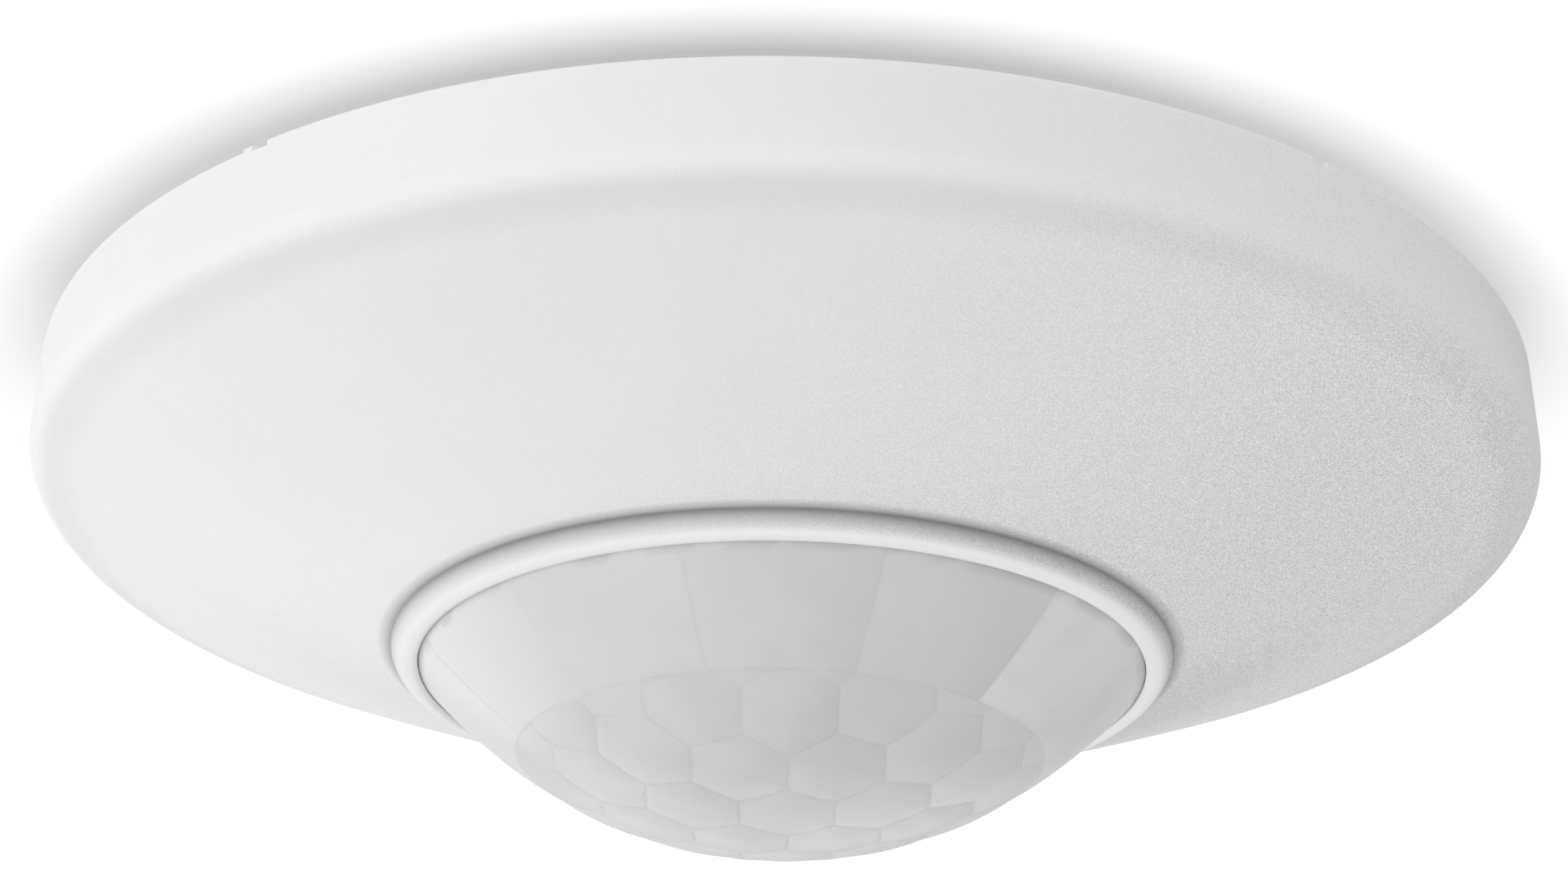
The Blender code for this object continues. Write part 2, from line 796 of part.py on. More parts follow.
def make_trimmer(prefix, x, body_look, dial_look):
    """A small adjuster: a square housing and a round dial that a screwdriver turns."""
    at = (x, CONTROLS_Y)
    low = PART_Z - TRIMMER_HEIGHT
    body = add(
        f"{prefix}_trimmer", slab(TRIMMER_SIZE, TRIMMER_SIZE, PART_Z, low, at), body_look
    )
    cut(body, "well", [rod(DIAL_RADIUS + RUNNING, low + 1.0, low - 1, at, 24)])
    dial_low = low - 0.5
    dial = [
        (0, low + 1.0 - FIT, 0.0),
        (DIAL_RADIUS, low + 1.0 - FIT, 0.0),
        (DIAL_RADIUS, dial_low, 0.3),
        (0, dial_low, 0.0),
    ]
    knob = add(f"{prefix}_dial", lathe(rounded(dial, 90.0), 20, at), dial_look)
    slots = [slab(3.4, 0.7, dial_low + 0.7, low - 2, at), slab(0.7, 3.4, dial_low + 0.7, low - 2, at)]
    cut_cross(knob, slots)
    pointer_at = (at[0] + 1.95, at[1])
    cut(knob, "pointer", [rod(0.3, dial_low + 0.4, low - 2, pointer_at, 10)])
    for piece in (knob, *[change.object for change in knob.modifiers]):
        move_origin(piece, *at, low)


def make_dip_switch(body_look, slider_look):
    width, depth, height = DIP_SIZE
    low = PART_Z - height
    body = add("dip_switch", slab(width, depth, PART_Z, low, (0, CONTROLS_Y)), body_look)
    tracks = []
    track_length = SLIDER_LENGTH + SLIDER_TRAVEL + 2 * RUNNING
    track_width = SLIDER_WIDTH + FIT
    for k in range(DIP_COUNT):
        x = DIP_PITCH * (k - (DIP_COUNT - 1) / 2)
        tracks.append(slab(track_width, track_length, low + 1.2, low - 1, (x, CONTROLS_Y)))
        y = CONTROLS_Y - SLIDER_TRAVEL / 2
        slider = slab(SLIDER_WIDTH, SLIDER_LENGTH, low + 1.2 - FIT, low - 0.6, (x, y))
        add(f"dip_slider_{k + 1}", slider, slider_look)
    cut(body, "tracks", tracks)


def make_tamper_switch(body_look, plunger_look, spring_look):
    """A switch whose sprung plunger the cover holds in."""
    low = PART_Z - TAMPER_HEIGHT
    body = add(
        "tamper_switch", slab(TAMPER_SIZE, TAMPER_SIZE, PART_Z, low, TAMPER_AT, 30), body_look
    )
    edge_bevel(body, 0.3)
    cut(body, "bore", [rod(PLUNGER_RADIUS + RUNNING, PART_Z - 0.6, low - 1, TAMPER_AT)])
    head_top = PLUNGER_END_Z + PLUNGER_HEAD
    plunger = [
        (0, PART_Z - 0.9, 0.0),
        (PLUNGER_RADIUS, PART_Z - 0.9, 0.0),
        (PLUNGER_RADIUS, head_top, 0.0),
        (PLUNGER_HEAD_RADIUS, head_top, 0.0),
        (PLUNGER_HEAD_RADIUS, PLUNGER_END_Z, 0.3),
        (0, PLUNGER_END_Z, 0.0),
    ]
    add("tamper_plunger", lathe(rounded(plunger, 45.0), SMALL, TAMPER_AT), plunger_look)
    make_tamper_spring(low - 0.1, head_top + 0.1, spring_look)


def make_tamper_spring(top, low, look, turns=2.0, wire=0.17, sides=6):
    """A closed coil of round wire between the switch and the plunger's head."""
    per_turn = 14
    count = int(turns * per_turn)
    bm = bmesh.new()
    rings = []
    for i in range(count + 1):
        share = i / count
        spin = math.tau * turns * share
        centre_z = top - wire + (low - top + 2 * wire) * share
        ring = []
        for s in range(sides):
            around = math.tau * s / sides
            r = SPRING_RADIUS + wire * math.cos(around)
            x = TAMPER_AT[0] + r * math.cos(spin)
            y = TAMPER_AT[1] + r * math.sin(spin)
            ring.append(bm.verts.new(metres(x, y, centre_z + wire * math.sin(around))))
        rings.append(ring)
    for first, second in zip(rings, rings[1:]):
        for s in range(sides):
            nxt = (s + 1) % sides
            bm.faces.new((first[s], first[nxt], second[nxt], second[s]))
    bm.faces.new(rings[0])
    bm.faces.new(reversed(rings[-1]))
    add("tamper_spring", finish(bm), look)


def main():
    clear_scene()
    white = material("cover_plastic", (0.84, 0.84, 0.84), 0.5)
    base_white = material("base_plastic", (0.78, 0.78, 0.77), 0.55)
    lens_look = material("lens_plastic", (0.74, 0.74, 0.74), 0.35)
    grey = material("retainer_plastic", (0.62, 0.63, 0.64), 0.5)
    green = material("board_laminate", (0.03, 0.20, 0.09), 0.4)
    black = material("black_plastic", (0.03, 0.03, 0.03), 0.45)
    steel = material("screw_steel", (0.62, 0.62, 0.63), 0.3, 1.0)
    nickel = material("nickel_can", (0.72, 0.69, 0.62), 0.22, 1.0)
    silicon = material("filter_window", (0.10, 0.10, 0.13), 0.15, 0.3)
    terminal = material("terminal_plastic", (0.05, 0.28, 0.12), 0.45)
    relay = material("relay_plastic", (0.80, 0.80, 0.76), 0.4)
    aluminium = material("capacitor_can", (0.75, 0.76, 0.78), 0.3, 1.0)
    red = material("led_red", (0.60, 0.03, 0.03), 0.15)
    blue = material("trimmer_plastic", (0.05, 0.16, 0.42), 0.4)
    cream = material("control_plastic", (0.85, 0.83, 0.76), 0.4)
    rubber = material("grommet_rubber", (0.05, 0.05, 0.05), 0.7)
    foam = material("gasket_foam", (0.14, 0.14, 0.15), 0.9)

    make_front_cover(white)
    make_lens(lens_look)
    make_retainer(grey)
    make_retainer_screws(steel)

    make_base_plate(base_white)
    make_cover_clips(steel)
    make_gasket(foam)
    make_grommet(rubber)
    make_board(green)
    make_board_screws(steel)

    make_pyro(black, nickel, silicon)
    make_terminal_block(terminal, steel)
    make_relay(relay)
    make_capacitor("reservoir_capacitor", (18.5, -4.0), 4.0, 8.6, aluminium)
    make_capacitor("filter_capacitor", (19.5, 6.5), 2.5, 5.6, aluminium)
    make_chip("microcontroller", (8.5, -19.5), (7.0, 7.0, 1.1), black)
    make_chip("amplifier_chip", (-8.0, -20.5), (8.7, 4.0, 1.5), black)
    make_chip("voltage_regulator", (22.5, -15.5), (6.5, 3.6, 1.6), black)
    make_led(red)

    make_trimmer("sensitivity", -TRIMMER_X, blue, cream)
    make_trimmer("hold_time", TRIMMER_X, blue, cream)
    make_dip_switch(blue, cream)
    make_tamper_switch(black, cream, steel)


main()
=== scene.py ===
"""Looks of a round ceiling motion sensor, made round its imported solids.

Mesh code works in millimetres, and a piece is scaled to metres when it is added. +Z points up
into the ceiling, the camera looks along +Y, and every piece hangs at negative z.
"""

import math
import random

import bmesh
import bpy
from mathutils import Matrix, Vector


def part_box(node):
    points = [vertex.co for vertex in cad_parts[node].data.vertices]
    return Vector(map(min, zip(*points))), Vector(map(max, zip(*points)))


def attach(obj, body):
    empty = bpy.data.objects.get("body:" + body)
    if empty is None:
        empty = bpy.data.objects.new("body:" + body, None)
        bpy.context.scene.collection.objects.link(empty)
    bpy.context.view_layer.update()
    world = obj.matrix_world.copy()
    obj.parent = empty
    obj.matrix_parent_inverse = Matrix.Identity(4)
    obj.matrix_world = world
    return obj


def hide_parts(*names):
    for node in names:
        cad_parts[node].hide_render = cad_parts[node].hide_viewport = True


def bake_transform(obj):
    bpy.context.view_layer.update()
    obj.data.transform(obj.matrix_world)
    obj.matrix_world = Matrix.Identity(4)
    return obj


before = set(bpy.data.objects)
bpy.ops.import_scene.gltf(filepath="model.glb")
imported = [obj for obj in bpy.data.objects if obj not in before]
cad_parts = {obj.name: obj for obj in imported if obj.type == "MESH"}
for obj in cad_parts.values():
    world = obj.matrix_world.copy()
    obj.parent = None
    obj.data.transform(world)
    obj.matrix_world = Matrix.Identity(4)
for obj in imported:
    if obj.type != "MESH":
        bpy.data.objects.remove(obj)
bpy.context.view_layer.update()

MM = 0.001


def space(node):
    """A CAD node's lowest corner, highest corner and centre, in millimetres."""
    low, high = (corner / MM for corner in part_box(node))
    return low, high, (low + high) / 2


def polar(radius, degrees):
    """The x and y of a point at a radius and an angle."""
    turn = math.radians(degrees)
    return radius * math.cos(turn), radius * math.sin(turn)


COVER_LOW, COVER_HIGH, _ = space("front_cover")
LENS_LOW, LENS_HIGH, _ = space("fresnel_lens")
RETAINER_LOW, RETAINER_HIGH, _ = space("lens_retainer")
BASE_LOW, BASE_HIGH, _ = space("base_plate")
BOARD_LOW, BOARD_HIGH, _ = space("circuit_board")
TAMPER_LOW, TAMPER_HIGH, TAMPER = space("tamper_plunger")

# Cover
RIM_RADIUS = COVER_HIGH.x
RIM_EDGE_Z = COVER_HIGH.z
INNER_WALL = RIM_RADIUS - 2.0
RIM_TOP_RADIUS = RIM_RADIUS - 0.3
DOME_START_Z = -8.1
DOME_END_Z = -19.15
DOME_END_RADIUS = 30.25
DOME_BULGE = 0.16
DOME_WALL_Z = 1.7
LIP_RADIUS = 29.85
LIP_START_Z = -19.2
LIP_CREST_RADIUS = 28.0
LIP_SHADE_Z = -18.3
SEAT_Z = -16.6
SEAT_RADIUS = 33.2
SNAP_ANGLES = (52.7, 127.3, 232.7, 307.3)
KEY_ANGLE = 180.0
BOSS_ROOT_Z = -15.8
NOTCH_WIDTH = 1.4
NOTCH_DEPTH = 0.55
RELIEF_X = 36.15
RELIEF_DEPTH = 0.4

# Lens
LENS_RADIUS = 27.7
LENS_EDGE_Z = -20.5
LENS_DEPTH = LENS_EDGE_Z - LENS_LOW.z
LENS_POWER = 2.28
LENS_WALL = 0.9
FLANGE = 0.8
CAP_RADIUS = 19.9
CELL_PITCH = 7.0
CELL_SHIFT_X = 0.6
CELL_SHIFT_Y = 1.6
CELL_HEIGHT = 0.15
PANEL_COUNT = 12
PANEL_START = -45.0
PANEL_HEIGHT = 0.08
GROOVE_WIDTH = 0.3
GROOVE_SINK = 0.01

# Base and board
EAR_RADIUS = 36.4
EAR_ANGLES = (60.0, 180.0, 300.0)
EAR_SPOTS = [polar(EAR_RADIUS, angle) for angle in EAR_ANGLES]
EAR_THICK = 1.2
EAR_WIDTH = 6.0
FLOOR = 2.4
CABLE_SPOT = (0, space("cable_grommet")[2].y)
CABLE_RADIUS = 8.0
CABLE_BORE = 3.2
COUNTERBORE_RADIUS = 9.8
GASKET_DEPTH = 1.2
SLOT_CENTRE = 42.6
SLOT_LENGTH = 8.4
SLOT_WIDTH = 5.0
SCREW_SPOTS = [polar(41.5, angle) for angle in (60.0, 120.0, 225.0, 315.0)]
HUB_RADIUS = 8.0
RECESS_RADIUS = 26.0
RIB_WIDTH = 1.6
PEG_RADIUS = 49.6
FACE = BOARD_LOW.z
COPPER = 0.04
INK = 0.06
PAD = 0.08

CLEAR = 0.3
ROUND = 192
SOFT = 64
FINE_TURN = 10.0


# ---- mesh code


def fresh(points, faces):
    """Mesh data from points and faces, with the faces turned outwards."""
    bm = bmesh.new()
    made = [bm.verts.new(point) for point in points]
    for face in faces:
        bm.faces.new([made[i] for i in face])
    bmesh.ops.recalc_face_normals(bm, faces=bm.faces)
    return bm


def placed(at, x, y, degrees=0.0):
    """The point (x, y) turned by degrees and then moved by at."""
    cos, sin = polar(1.0, degrees)
    return at[0] + x * cos - y * sin, at[1] + x * sin + y * cos


def rounded(corners):
    """Points of a closed outline of (r, z, fillet) corners, each fillet drawn as an arc."""
    points = []
    for i, (r, z, fillet) in enumerate(corners):
        if fillet <= 0:
            points.append((r, z))
            continue
        here = Vector((r, z))
        to_last = (Vector(corners[i - 1][:2]) - here).normalized()
        to_next = (Vector(corners[(i + 1) % len(corners)][:2]) - here).normalized()
        half = to_last.angle(to_next) / 2
        centre = here + (to_last + to_next).normalized() * (fillet / math.sin(half))
        start = here + to_last * (fillet / math.tan(half)) - centre
        end = here + to_next * (fillet / math.tan(half)) - centre
        sweep = start.angle_signed(end)
        count = max(1, round(abs(math.degrees(sweep)) / FINE_TURN))
        for k in range(count + 1):
            spoke = start.copy()
            spoke.rotate(Matrix.Rotation(-sweep * k / count, 2))
            points.append(tuple(centre + spoke))
    return points


def lathe(outline, turns, centre=(0.0, 0.0)):
    """A closed (r, z) outline turned round an upright axis. turns is a count or a list of angles."""
    if isinstance(turns, int):
        turns = [math.tau * i / turns for i in range(turns)]
    points, rings, faces = [], [], []
    for r, z in outline:
        spots = turns if r > 0 else turns[:1]
        rings.append([len(points) + i for i in range(len(spots))])
        points += [(centre[0] + r * math.cos(a), centre[1] + r * math.sin(a), z) for a in spots]
    for first, second in zip(rings, rings[1:] + rings[:1]):
        if len(first) == len(second) == 1:
            continue
        for i in range(len(turns)):
            j = (i + 1) % len(turns)
            corners = [first[i % len(first)], first[j % len(first)]]
            corners += [second[j % len(second)], second[i % len(second)]]
            faces.append(list(dict.fromkeys(corners)))
    return fresh(points, faces)


def bridge(first, second):
    """A solid between two flat outlines with as many points as each other."""
    count = len(first)
    faces = [list(range(count)), list(range(count, 2 * count))]
    faces += [[i, (i + 1) % count, count + (i + 1) % count, count + i] for i in range(count)]
    return fresh(first + second, faces)


def prism(points, top, low):
    """A flat outline of (x, y) points made solid between two heights."""
    return bridge([(x, y, top) for x, y in points], [(x, y, low) for x, y in points])


def slab(width, depth, top, low, at, turn=0.0):
    """A block between two heights."""
    corners = ((-1, -1), (1, -1), (1, 1), (-1, 1))
    return prism([placed(at, x * width / 2, y * depth / 2, turn) for x, y in corners], top, low)


def rod(radius, top, low, at=(0.0, 0.0), turns=SOFT, low_radius=None):
    """An upright cylinder or cone between two heights."""
    low_radius = radius if low_radius is None else low_radius
    return lathe([(0, top), (radius, top), (low_radius, low), (0, low)], turns, at)


def tube(inner, outer, top, low, at, turns=48):
    """An upright tube between two heights."""
    return lathe([(inner, top), (outer, top), (outer, low), (inner, low)], turns, at)


def radial_prism(section, width, degrees, at=(0.0, 0.0)):
    """A (r, z) section made width wide, at an angle round the upright axis through at."""
    half = width / 2
    bm = bridge([(r, -half, z) for r, z in section], [(r, half, z) for r, z in section])
    bmesh.ops.rotate(bm, verts=bm.verts, matrix=Matrix.Rotation(math.radians(degrees), 3, "Z"))
    bmesh.ops.translate(bm, verts=bm.verts, vec=(*at, 0.0))
    return bm


def merge(shapes):
    """Several shapes in one set of mesh data."""
    whole = bmesh.new()
    for shape in shapes:
        loose = bpy.data.meshes.new("loose")
        shape.to_mesh(loose)
        shape.free()
        whole.from_mesh(loose)
        bpy.data.meshes.remove(loose)
    return whole


def as_object(name, bm):
    """An object, in metres, from mesh data in millimetres."""
    bmesh.ops.scale(bm, vec=(MM, MM, MM), verts=bm.verts)
    mesh = bpy.data.meshes.new(name)
    bm.to_mesh(mesh)
    bm.free()
    made = bpy.data.objects.new(name, mesh)
    bpy.context.scene.collection.objects.link(made)
    return made


def turned(name, corners, turns=SOFT, at=(0.0, 0.0)):
    """A lathed object whose outline has rounded corners."""
    return as_object(name, lathe(rounded(corners), turns, at))


def to_axis(corners):
    """An outline whose ends are carried in to the axis."""
    return [(0, corners[0][1], 0), *corners, (0, corners[-1][1], 0)]


def combine(piece, operation, shapes):
    """Applies an exact Boolean between a piece and several shapes."""
    tool = as_object("tool", merge(shapes))
    change = piece.modifiers.new("combine", "BOOLEAN")
    change.operation = operation
    change.solver = "EXACT"
    change.object = tool
    bpy.context.view_layer.update()
    evaluated = piece.evaluated_get(bpy.context.evaluated_depsgraph_get())
    mesh = bpy.data.meshes.new_from_object(evaluated)
    piece.modifiers.clear()
    piece.data = mesh
    bpy.data.objects.remove(tool)


def cut(piece, *shapes):
    combine(piece, "DIFFERENCE", shapes)


def join(piece, *shapes):
    combine(piece, "UNION", shapes)


def shade(piece, angle):
    piece.data.shade_smooth()
    piece.data.set_sharp_from_angle(angle=math.radians(angle))


def soften(piece, width, angle=40.0, segments=2):
    """Rounds the sharp edges of a piece."""
    change = piece.modifiers.new("edge", "BEVEL")
    change.width = width * MM
    change.segments = segments
    change.limit_method = "ANGLE"
    change.angle_limit = math.radians(angle)
    change.harden_normals = False


# ---- materials


class Nodes:
    """Short ways to add and link shader nodes in one tree."""

    def __init__(self, owner):
        owner.use_nodes = True
        self.tree = owner.node_tree

    def add(self, kind, **settings):
        made = self.tree.nodes.new("ShaderNode" + kind)
        for key, value in settings.items():
            if hasattr(made, key):
                setattr(made, key, value)
            else:
                made.inputs[key].default_value = value
        return made

    def link(self, start, end):
        self.tree.links.new(start, end)

    def maths(self, operation, first, second=0.0):
        made = self.add("Math", operation=operation)
        for socket, value in zip(made.inputs, (first, second)):
            if isinstance(value, (int, float)):
                socket.default_value = value
            else:
                self.link(value, socket)
        return made.outputs[0]

    def times(self, first, *others):
        """The product of several values."""
        for other in others:
            first = self.maths("MULTIPLY", first, other)
        return first

    def split(self, vector):
        """The x, y and z outputs of a vector."""
        made = self.add("SeparateXYZ")
        self.link(vector, made.inputs[0])
        return made.outputs

    def mix(self, share, first, second):
        """A shader between two shaders."""
        made = self.add("MixShader")
        for socket, value in zip(made.inputs, (share, first, second)):
            self.link(value, socket)
        return made.outputs[0]


class Look(Nodes):
    """A Principled material whose textures follow the piece's own coordinates, in metres."""

    def __init__(self, name, colour, roughness, metallic=0.0, **inputs):
        self.material = bpy.data.materials.new(name)
        super().__init__(self.material)
        self.slot = STAND_INS.get(name, name)
        self.shader = self.tree.nodes["Principled BSDF"]
        self.colour = (*colour, 1.0)
        inputs.update(Base_Color=self.colour, Roughness=roughness, Metallic=metallic)
        for key, value in inputs.items():
            self.shader.inputs[key.replace("_", " ")].default_value = value
        self.place = self.add("TexCoord").outputs["Object"]

    def noise(self, size, detail=2.0, stretch=None):
        """Noise whose blobs are about size millimetres across; stretch scales each axis."""
        made = self.add("TexNoise", Scale=1.0 / (size * MM), Detail=detail)
        place = self.place
        if stretch:
            scaled = self.add("Mapping", Scale=stretch)
            self.link(place, scaled.inputs["Vector"])
            place = scaled.outputs["Vector"]
        self.link(place, made.inputs["Vector"])
        return made.outputs["Fac"]

    def spread(self, value, low, high, to_low=0.0, to_high=1.0):
        """Maps low..high of a value to to_low..to_high."""
        made = self.add("MapRange")
        limits = {"From Min": low, "From Max": high, "To Min": to_low, "To Max": to_high}
        for key, number in limits.items():
            made.inputs[key].default_value = number
        self.link(value, made.inputs["Value"])
        return made.outputs["Result"]

    def blend(self, share, first, second):
        """A colour between two colours, each a socket or three numbers."""
        made = self.add("Mix", data_type="RGBA")
        self.link(share, made.inputs[0])
        for socket, value in zip((made.inputs[6], made.inputs[7]), (first, second)):
            if isinstance(value, tuple):
                socket.default_value = (*value[:3], 1.0)
            else:
                self.link(value, socket)
        return made.outputs[2]

    def paint(self, share, other):
        """Blends the base colour towards another one."""
        socket = self.shader.inputs["Base Color"]
        first = socket.links[0].from_socket if socket.links else self.colour
        self.link(self.blend(share, first, other), socket)
        return self

    def mottle(self, size, amount, detail=3.0):
        """Darkens the base colour a little in soft patches."""
        darker = tuple(channel * (1.0 - amount) for channel in self.colour[:3])
        return self.paint(self.spread(self.noise(size, detail), 0.35, 0.65), darker)

    def bump(self, height, depth):
        """Adds a height of depth millimetres to the surface, over any height already there."""
        made = self.add("Bump", Strength=1.0, Distance=depth * MM)
        self.link(height, made.inputs["Height"])
        socket = self.shader.inputs["Normal"]
        if socket.links:
            self.link(socket.links[0].from_socket, made.inputs["Normal"])
        self.link(made.outputs["Normal"], socket)
        return self

    def grain(self, size, depth, detail=2.0, stretch=None):
        return self.bump(self.noise(size, detail, stretch), depth)

    def vary_gloss(self, size, low, high):
        """Roughness that wanders between two values in soft patches."""
        value = self.spread(self.noise(size, 3.0), 0.3, 0.7, low, high)
        self.link(value, self.shader.inputs["Roughness"])
        return self

    def length(self, operation, first, second):
        """Multiplies a place by a vector, or measures from it, and gives the length."""
        made = self.add("VectorMath", operation=operation)
        self.link(first, made.inputs[0])
        if isinstance(second, tuple):
            made.inputs[1].default_value = second
            far = self.add("VectorMath", operation="LENGTH")
            self.link(made.outputs[0], far.inputs[0])
            made = far
        else:
            self.link(second, made.inputs[1])
        return made.outputs["Value"]


STAND_INS = {
    "solder_tin": "screw_steel",
    "trace_mask": "board_laminate",
    "board_ink": "board_laminate",
    "chip_ceramic": "relay_plastic",
    "capacitor_sleeve": "black_plastic",
}


def moulded(name, colour, roughness, grain_size, grain_depth, mottle=0.02, **inputs):
    """Injection-moulded plastic with a spark-eroded grain."""
    made = Look(name, colour, roughness, Specular_IOR_Level=0.45, **inputs)
    made.mottle(14.0, mottle)
    made.grain(grain_size * 4, grain_depth * 1.2, 1.0)
    made.grain(grain_size, grain_depth, 3.0)
    return made


def milky(weight, scale):
    """Inputs for light that passes a little way under the surface."""
    return {
        "Subsurface_Weight": weight,
        "Subsurface_Radius": (1.0, 1.0, 1.0),
        "Subsurface_Scale": scale * MM,
    }


def cover_look():
    white = (0.835, 0.835, 0.838)
    made = moulded("cover_plastic", white, 0.55, 0.22, 0.02, **milky(0.06, 0.6))
    place = made.split(made.place)
    edge = 0.7 * RIM_RADIUS * MM
    # The speckle stands for the plastic's grain; painting it stronger towards +x and +y, where light
    # grazes the surface, is painted light. It is weaker on the rim.
    speck = made.spread(made.noise(0.12, 0.0), 0.37, 0.63)
    speckled = made.blend(speck, (0.62, 0.62, 0.625), (1.0, 1.0, 1.0))
    grazing_side = made.maths("ADD", place["X"], made.times(place["Y"], 0.8))
    amount = made.spread(grazing_side, -edge, edge, 0.05, 1.0)
    below_rim = made.spread(place["Z"], -7.5 * MM, -9.5 * MM, 0.4, 1.0)
    made.paint(made.times(amount, below_rim), speckled)
    made.vary_gloss(3.0, 0.5, 0.62)
    radius = made.length("MULTIPLY", made.place, (1.0, 1.0, 0.0))
    shade_crease(made, radius)
    shade_behind(made, radius, place)
    shade_lip(made, radius, place)
    return made


def shade_crease(made, radius):
    """A faint darker band just inside the edge between rim and dome."""
    outer = made.spread(radius, 57.4 * MM, 56.4 * MM)
    inner = made.spread(radius, 53.8 * MM, 55.4 * MM)
    made.paint(made.times(outer, inner, 0.07), (0.1, 0.1, 0.1))


def shade_behind(made, radius, place):
    """Soft shade on the dome behind the lens, deeper on the right."""
    close = made.spread(radius, 46.0 * MM, 32.0 * MM)
    behind = made.spread(place["Y"], -4.0 * MM, 12.0 * MM)
    depth = made.spread(place["X"], -30.0 * MM, 30.0 * MM, 0.08, 0.18)
    made.paint(made.times(close, behind, depth), (0.1, 0.1, 0.1))


def shade_lip(made, radius, place):
    """Painted shade where the lip meets the dome, and a painted highlight on the crest, stronger on
    the right.
    """
    height = place["Z"]
    outside = made.maths("LESS_THAN", height, LIP_SHADE_Z * MM)
    toward = made.maths("DIVIDE", made.maths("ABSOLUTE", place["Y"]), radius)
    most = made.spread(toward, 0.0, 0.9, 0.55, 0.8)
    right = made.spread(place["X"], -LIP_RADIUS * MM, 0.7 * LIP_RADIUS * MM, 0.1, 1.0)
    ring = made.spread(radius, 30.9 * MM, 29.9 * MM)
    side = made.spread(height, -20.55 * MM, -19.3 * MM)
    # Painted highlight: the crest is painted lighter, more so on the right.
    crest = made.spread(height, -20.1 * MM, -20.6 * MM)
    made.paint(made.times(crest, right), (1.0, 1.0, 1.0))
    # Painted shade round the lip's foot, deepest in front and behind.
    made.paint(made.times(ring, side, outside, most), (0.17, 0.17, 0.172))


def lens_look():
    """Milky polyethylene: faint Fresnel rings in each cell, darker grooves between cells painted as
    shade, and faces lightened by painted light with a little random variation.
    """
    grey = (0.605, 0.607, 0.61)
    made = Look("lens_plastic", grey, 0.34, Specular_IOR_Level=0.4, **milky(0.25, 1.6))
    tone_and_light = made.add("Attribute", attribute_name="tone_and_light").outputs["Fac"]
    groove = made.add("Attribute", attribute_name="groove").outputs["Fac"]
    middle = made.add("Attribute", attribute_name="middle").outputs["Vector"]
    # Painted light: each face is lightened by its value, most on the right and a little on the left,
    # with some random variation.
    made.paint(tone_and_light, (0.88, 0.882, 0.885))
    made.paint(made.spread(made.noise(7.0, 4.0), 0.45, 0.6, 0.0, 0.4), (0.7, 0.7, 0.7))
    away = made.length("DISTANCE", made.place, middle)
    rings = made.maths("SINE", made.times(away, math.tau / (0.42 * MM)))
    made.paint(made.spread(rings, -1.0, 1.0, 0.0, 0.04), (0.56, 0.56, 0.565))
    # Painted shade in the grooves between cells.
    made.paint(made.spread(groove, 0.0, 1.0, 0.0, 0.06), (0.5, 0.5, 0.505))
    made.bump(rings, 0.0015)
    made.grain(0.5, 0.006, 3.0)
    made.vary_gloss(4.0, 0.28, 0.42)
    return made


def board_look():
    """Green solder resist over glass cloth, with bare laminate at the cut edges."""
    made = Look("board_laminate", (0.018, 0.13, 0.052), 0.32, Coat_Weight=0.35, Coat_Roughness=0.15)
    made.mottle(11.0, 0.25)
    weave = made.times(made.noise(0.4, 0.0, (1.0, 0.12, 1.0)), made.noise(0.4, 0.0, (0.12, 1.0, 1.0)))
    made.paint(made.spread(weave, 0.2, 0.32, 0.0, 0.3), (0.03, 0.19, 0.08))
    made.bump(weave, 0.02)
    facing = made.split(made.add("NewGeometry").outputs["Normal"])
    flat = made.maths("ABSOLUTE", facing["Z"])
    made.paint(made.spread(flat, 0.9, 0.3), (0.42, 0.38, 0.2))
    return made


def metal(name, colour, roughness, brush=(1.0, 1.0, 1.0), depth=0.006):
    """Plated or bare metal with fine lines along one axis, and dull patches."""
    made = Look(name, colour, roughness, 1.0)
    made.mottle(2.5, 0.15)
    made.grain(0.12, depth, 2.0, brush)
    return made.vary_gloss(1.2, roughness * 0.7, roughness * 1.4)


def compound_look():
    """Black moulding compound with a matt, gritty face and lighter edges."""
    made = Look("black_plastic", (0.022, 0.022, 0.024), 0.55)
    made.mottle(1.5, 0.35)
    made.grain(0.09, 0.012, 3.0)
    rim = made.add("NewGeometry").outputs["Pointiness"]
    return made.paint(made.spread(rim, 0.52, 0.77, 0.0, 0.6), (0.09, 0.09, 0.095))


